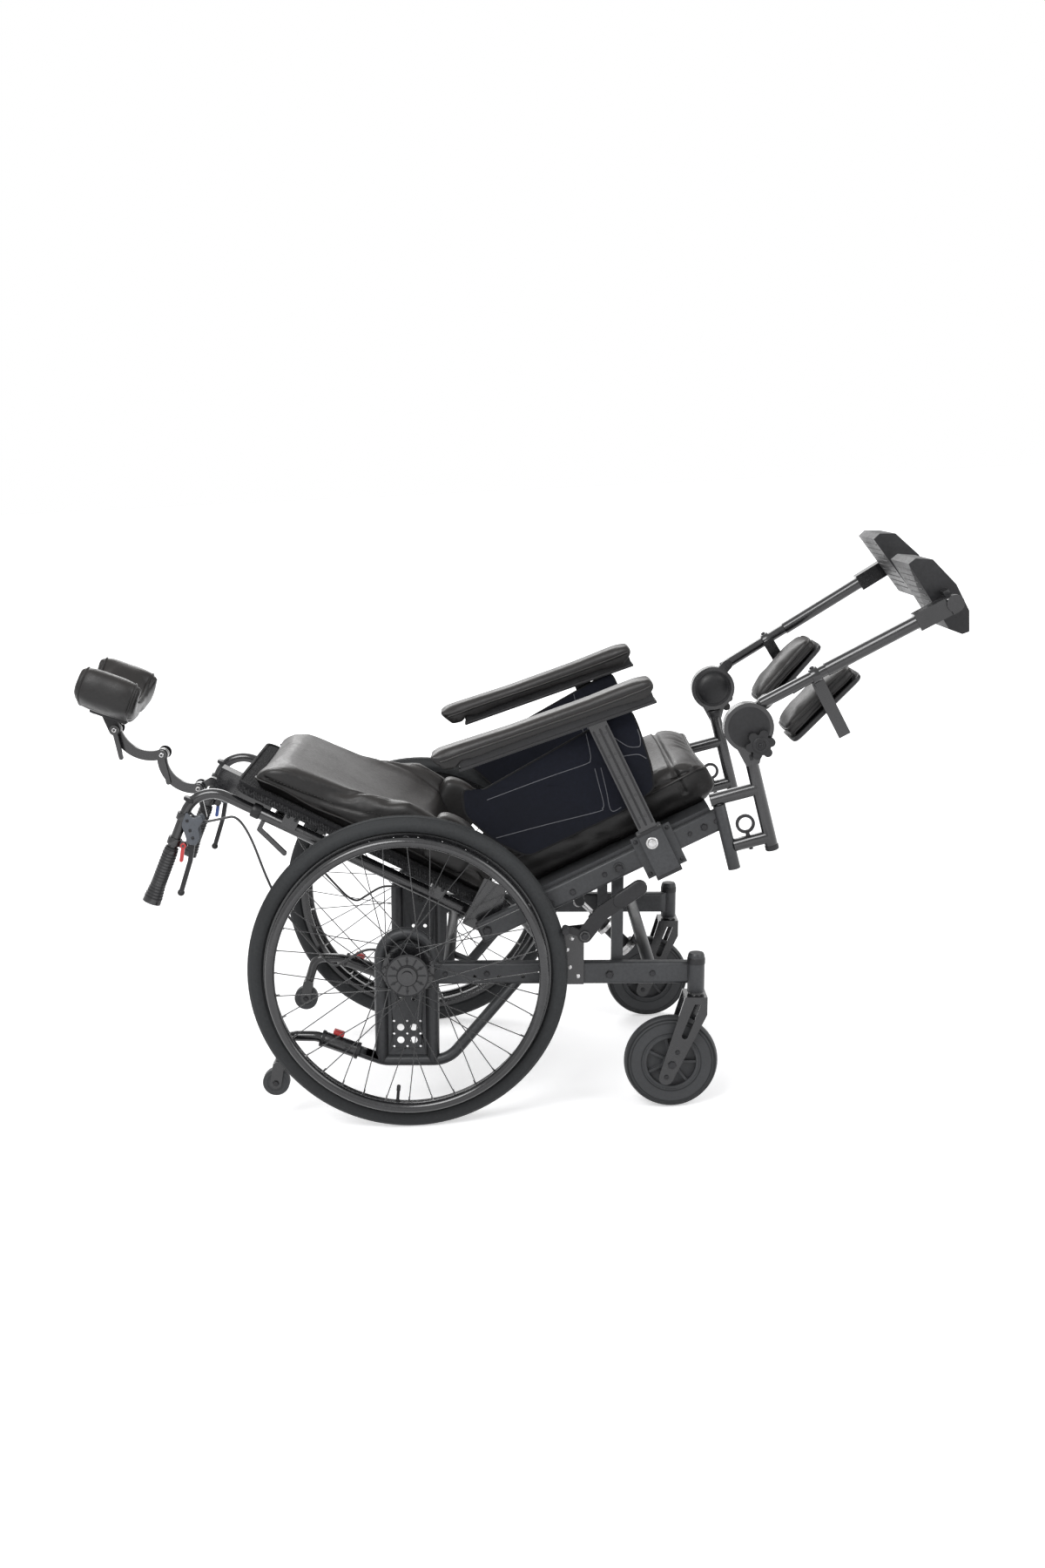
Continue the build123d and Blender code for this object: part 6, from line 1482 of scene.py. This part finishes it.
def stage(sizes):
    """Floor, soft lamps, pale world and camera."""
    form = row_form()
    form.add([(x * FLOOR_REACH, y * FLOOR_REACH, 0) for x, y in ((-1, -1), (1, -1), (1, 1), (-1, 1))],
             [(0, 1, 2, 3)])
    mesh = new_mesh("studio_floor", form.points, form.faces)
    mesh.materials.append(floor_material())
    floor = new_object("studio_floor", mesh)
    studio_world()
    for lamp in LAMPS:
        area_lamp(*lamp)
    bpy.context.scene.view_settings.view_transform = "Standard"
    camera()


# ---------------------------------------------------------------- add-on
def tint(label, description, value):
    return bpy.props.FloatVectorProperty(name=label, description=description, subtype="COLOR", size=3,
                                         min=0.0, max=1.0, default=value)


def length(label, description, value):
    return bpy.props.FloatProperty(name=label, description=description, subtype="DISTANCE", unit="LENGTH",
                                   min=0.0001, default=value)


class WheelchairColours(bpy.types.PropertyGroup):
    """Colours of the chair's finishes."""
    frame_coat: tint("Frame coat", "Charcoal powder coat of the frame", (0.030, 0.031, 0.033))
    rim: tint("Rims", "Anodised rims and handrims", (0.010, 0.010, 0.011))
    plastic: tint("Black mouldings", "Grips, pads' rails and covers", (0.011, 0.011, 0.012))
    grey_plastic: tint("Grey mouldings", "Caster wheels and knob faces", (0.028, 0.029, 0.031))
    housing: tint("Lever covers", "Moulded covers of the brake levers", (0.050, 0.056, 0.066))
    tyre: tint("Tyres", "Dark grey tyre rubber", (0.018, 0.019, 0.020))
    leather: tint("Upholstery", "Coated black upholstery", (0.010, 0.0095, 0.0095))
    # Painted sheen: the lighter tone given to the upward faces of the upholstery.
    leather_painted_sheen: tint("Upholstery on top", "Brown-grey painted sheen on faces that look up",
                      (0.021, 0.0185, 0.0172))
    thread: tint("Thread", "Seam stitches", (0.022, 0.021, 0.020))
    panel: tint("Side panels", "Blue-black cloth of the side panels", (0.0075, 0.0085, 0.0135))
    piping: tint("Piping", "Thin grey piping lines", (0.06, 0.062, 0.07))
    red: tint("Red parts", "Release buttons and a trigger", (0.42, 0.022, 0.022))
    blue: tint("Blue parts", "The other trigger", (0.03, 0.085, 0.33))


class WheelchairSizes(bpy.types.PropertyGroup):
    """Sizes of the upholstery's mesh, piping and stitches, and of rounded edges."""
    coarse_voxel: length("Large cushions' mesh", "Remeshing step of the seat and back cushions", 0.0064)
    fine_voxel: length("Small pads' mesh", "Remeshing step of the head, arm and calf pads", 0.0045)
    piping: length("Piping radius", "Radius of the welts along the seams", 0.0024)
    stitch_step: length("Stitch step", "Distance between two stitches", 0.0068)
    edge: length("Edge rounding", "Width of the rounded edges of hard parts", 0.0009)


def finishes(sizes):
    """Every finish, on every CAD part."""
    make_finishes(bpy.context.scene.wheelchair_colours)
    dress_frame()


def rounded_edges(sizes):
    """Small rounded edges on the hard CAD parts."""
    hidden = {"seat_cushion", "back_cushion", "headrest_pad", "brake_cables"}
    plain = [n for n in frame["nodes"] if n not in hidden and not n.endswith(("_pad", "_tyre", "_panel"))]
    soften_edges([n for n in plain if not n.endswith("spoked_wheel")], sizes.edge)


STEPS = (("finishes", "Finishes", finishes), ("seat_cushion", "Seat cushion", seat_cushion),
         ("back_cushion", "Back cushion", back_cushion), ("headrest", "Headrest pad", headrest_pad),
         ("arm_pads", "Armrest pads", armrest_pads), ("side_panels", "Side panels", side_panels),
         ("calf_pads", "Calf pads", calf_pads), ("brake_cables", "Brake cables", brake_cables),
         ("tyres", "Tyres", tyres), ("wheel_details", "Wheel details", wheel_details),
         ("caster_details", "Caster details", caster_details),
         ("antitip_details", "Anti-tip details", antitip_details),
         ("handle_details", "Handle details", handle_details),
         ("headrest_levers", "Headrest levers", headrest_levers),
         ("brake_details", "Parking brake details", parking_brake_details),
         ("arm_details", "Armrest details", armrest_details),
         ("seat_details", "Seat and base bolts", seat_details),
         ("spring_collars", "Spring collars", spring_collars),
         ("back_details", "Back details", back_details),
         ("knee_details", "Knee details", knee_details), ("foot_details", "Footplate details",
                                                          footplate_details),
         ("rounded_edges", "Rounded edges", rounded_edges), ("stage", "Floor, lamps and camera", stage))


def step_operator(key, label, build):
    def execute(self, context):
        build(context.scene.wheelchair_sizes)
        return {"FINISHED"}
    return type("WHEELCHAIR_OT_" + key, (bpy.types.Operator,), {
        "bl_idname": "wheelchair." + key, "bl_label": label, "__doc__": build.__doc__, "execute": execute})


OPERATORS = [step_operator(*step) for step in STEPS]


class WHEELCHAIR_PT_pieces(bpy.types.Panel):
    """Buttons for the chair's pieces, with their sizes and colours."""
    bl_label = "Wheelchair"
    bl_space_type = "VIEW_3D"
    bl_region_type = "UI"
    bl_category = "Wheelchair"

    def draw(self, context):
        for settings in (context.scene.wheelchair_sizes, context.scene.wheelchair_colours):
            for key in settings.__annotations__:
                self.layout.prop(settings, key)
        for operator in OPERATORS:
            self.layout.operator(operator.bl_idname)


CLASSES = (WheelchairColours, WheelchairSizes, *OPERATORS, WHEELCHAIR_PT_pieces)


def register():
    for one in CLASSES:
        bpy.utils.register_class(one)
    bpy.types.Scene.wheelchair_sizes = bpy.props.PointerProperty(type=WheelchairSizes)
    bpy.types.Scene.wheelchair_colours = bpy.props.PointerProperty(type=WheelchairColours)


def unregister():
    del bpy.types.Scene.wheelchair_colours, bpy.types.Scene.wheelchair_sizes
    for one in reversed(CLASSES):
        bpy.utils.unregister_class(one)


def main():
    register()
    for operator in OPERATORS:
        family, key = operator.bl_idname.split(".")
        getattr(getattr(bpy.ops, family), key)()


if __name__ == "__main__":
    main()
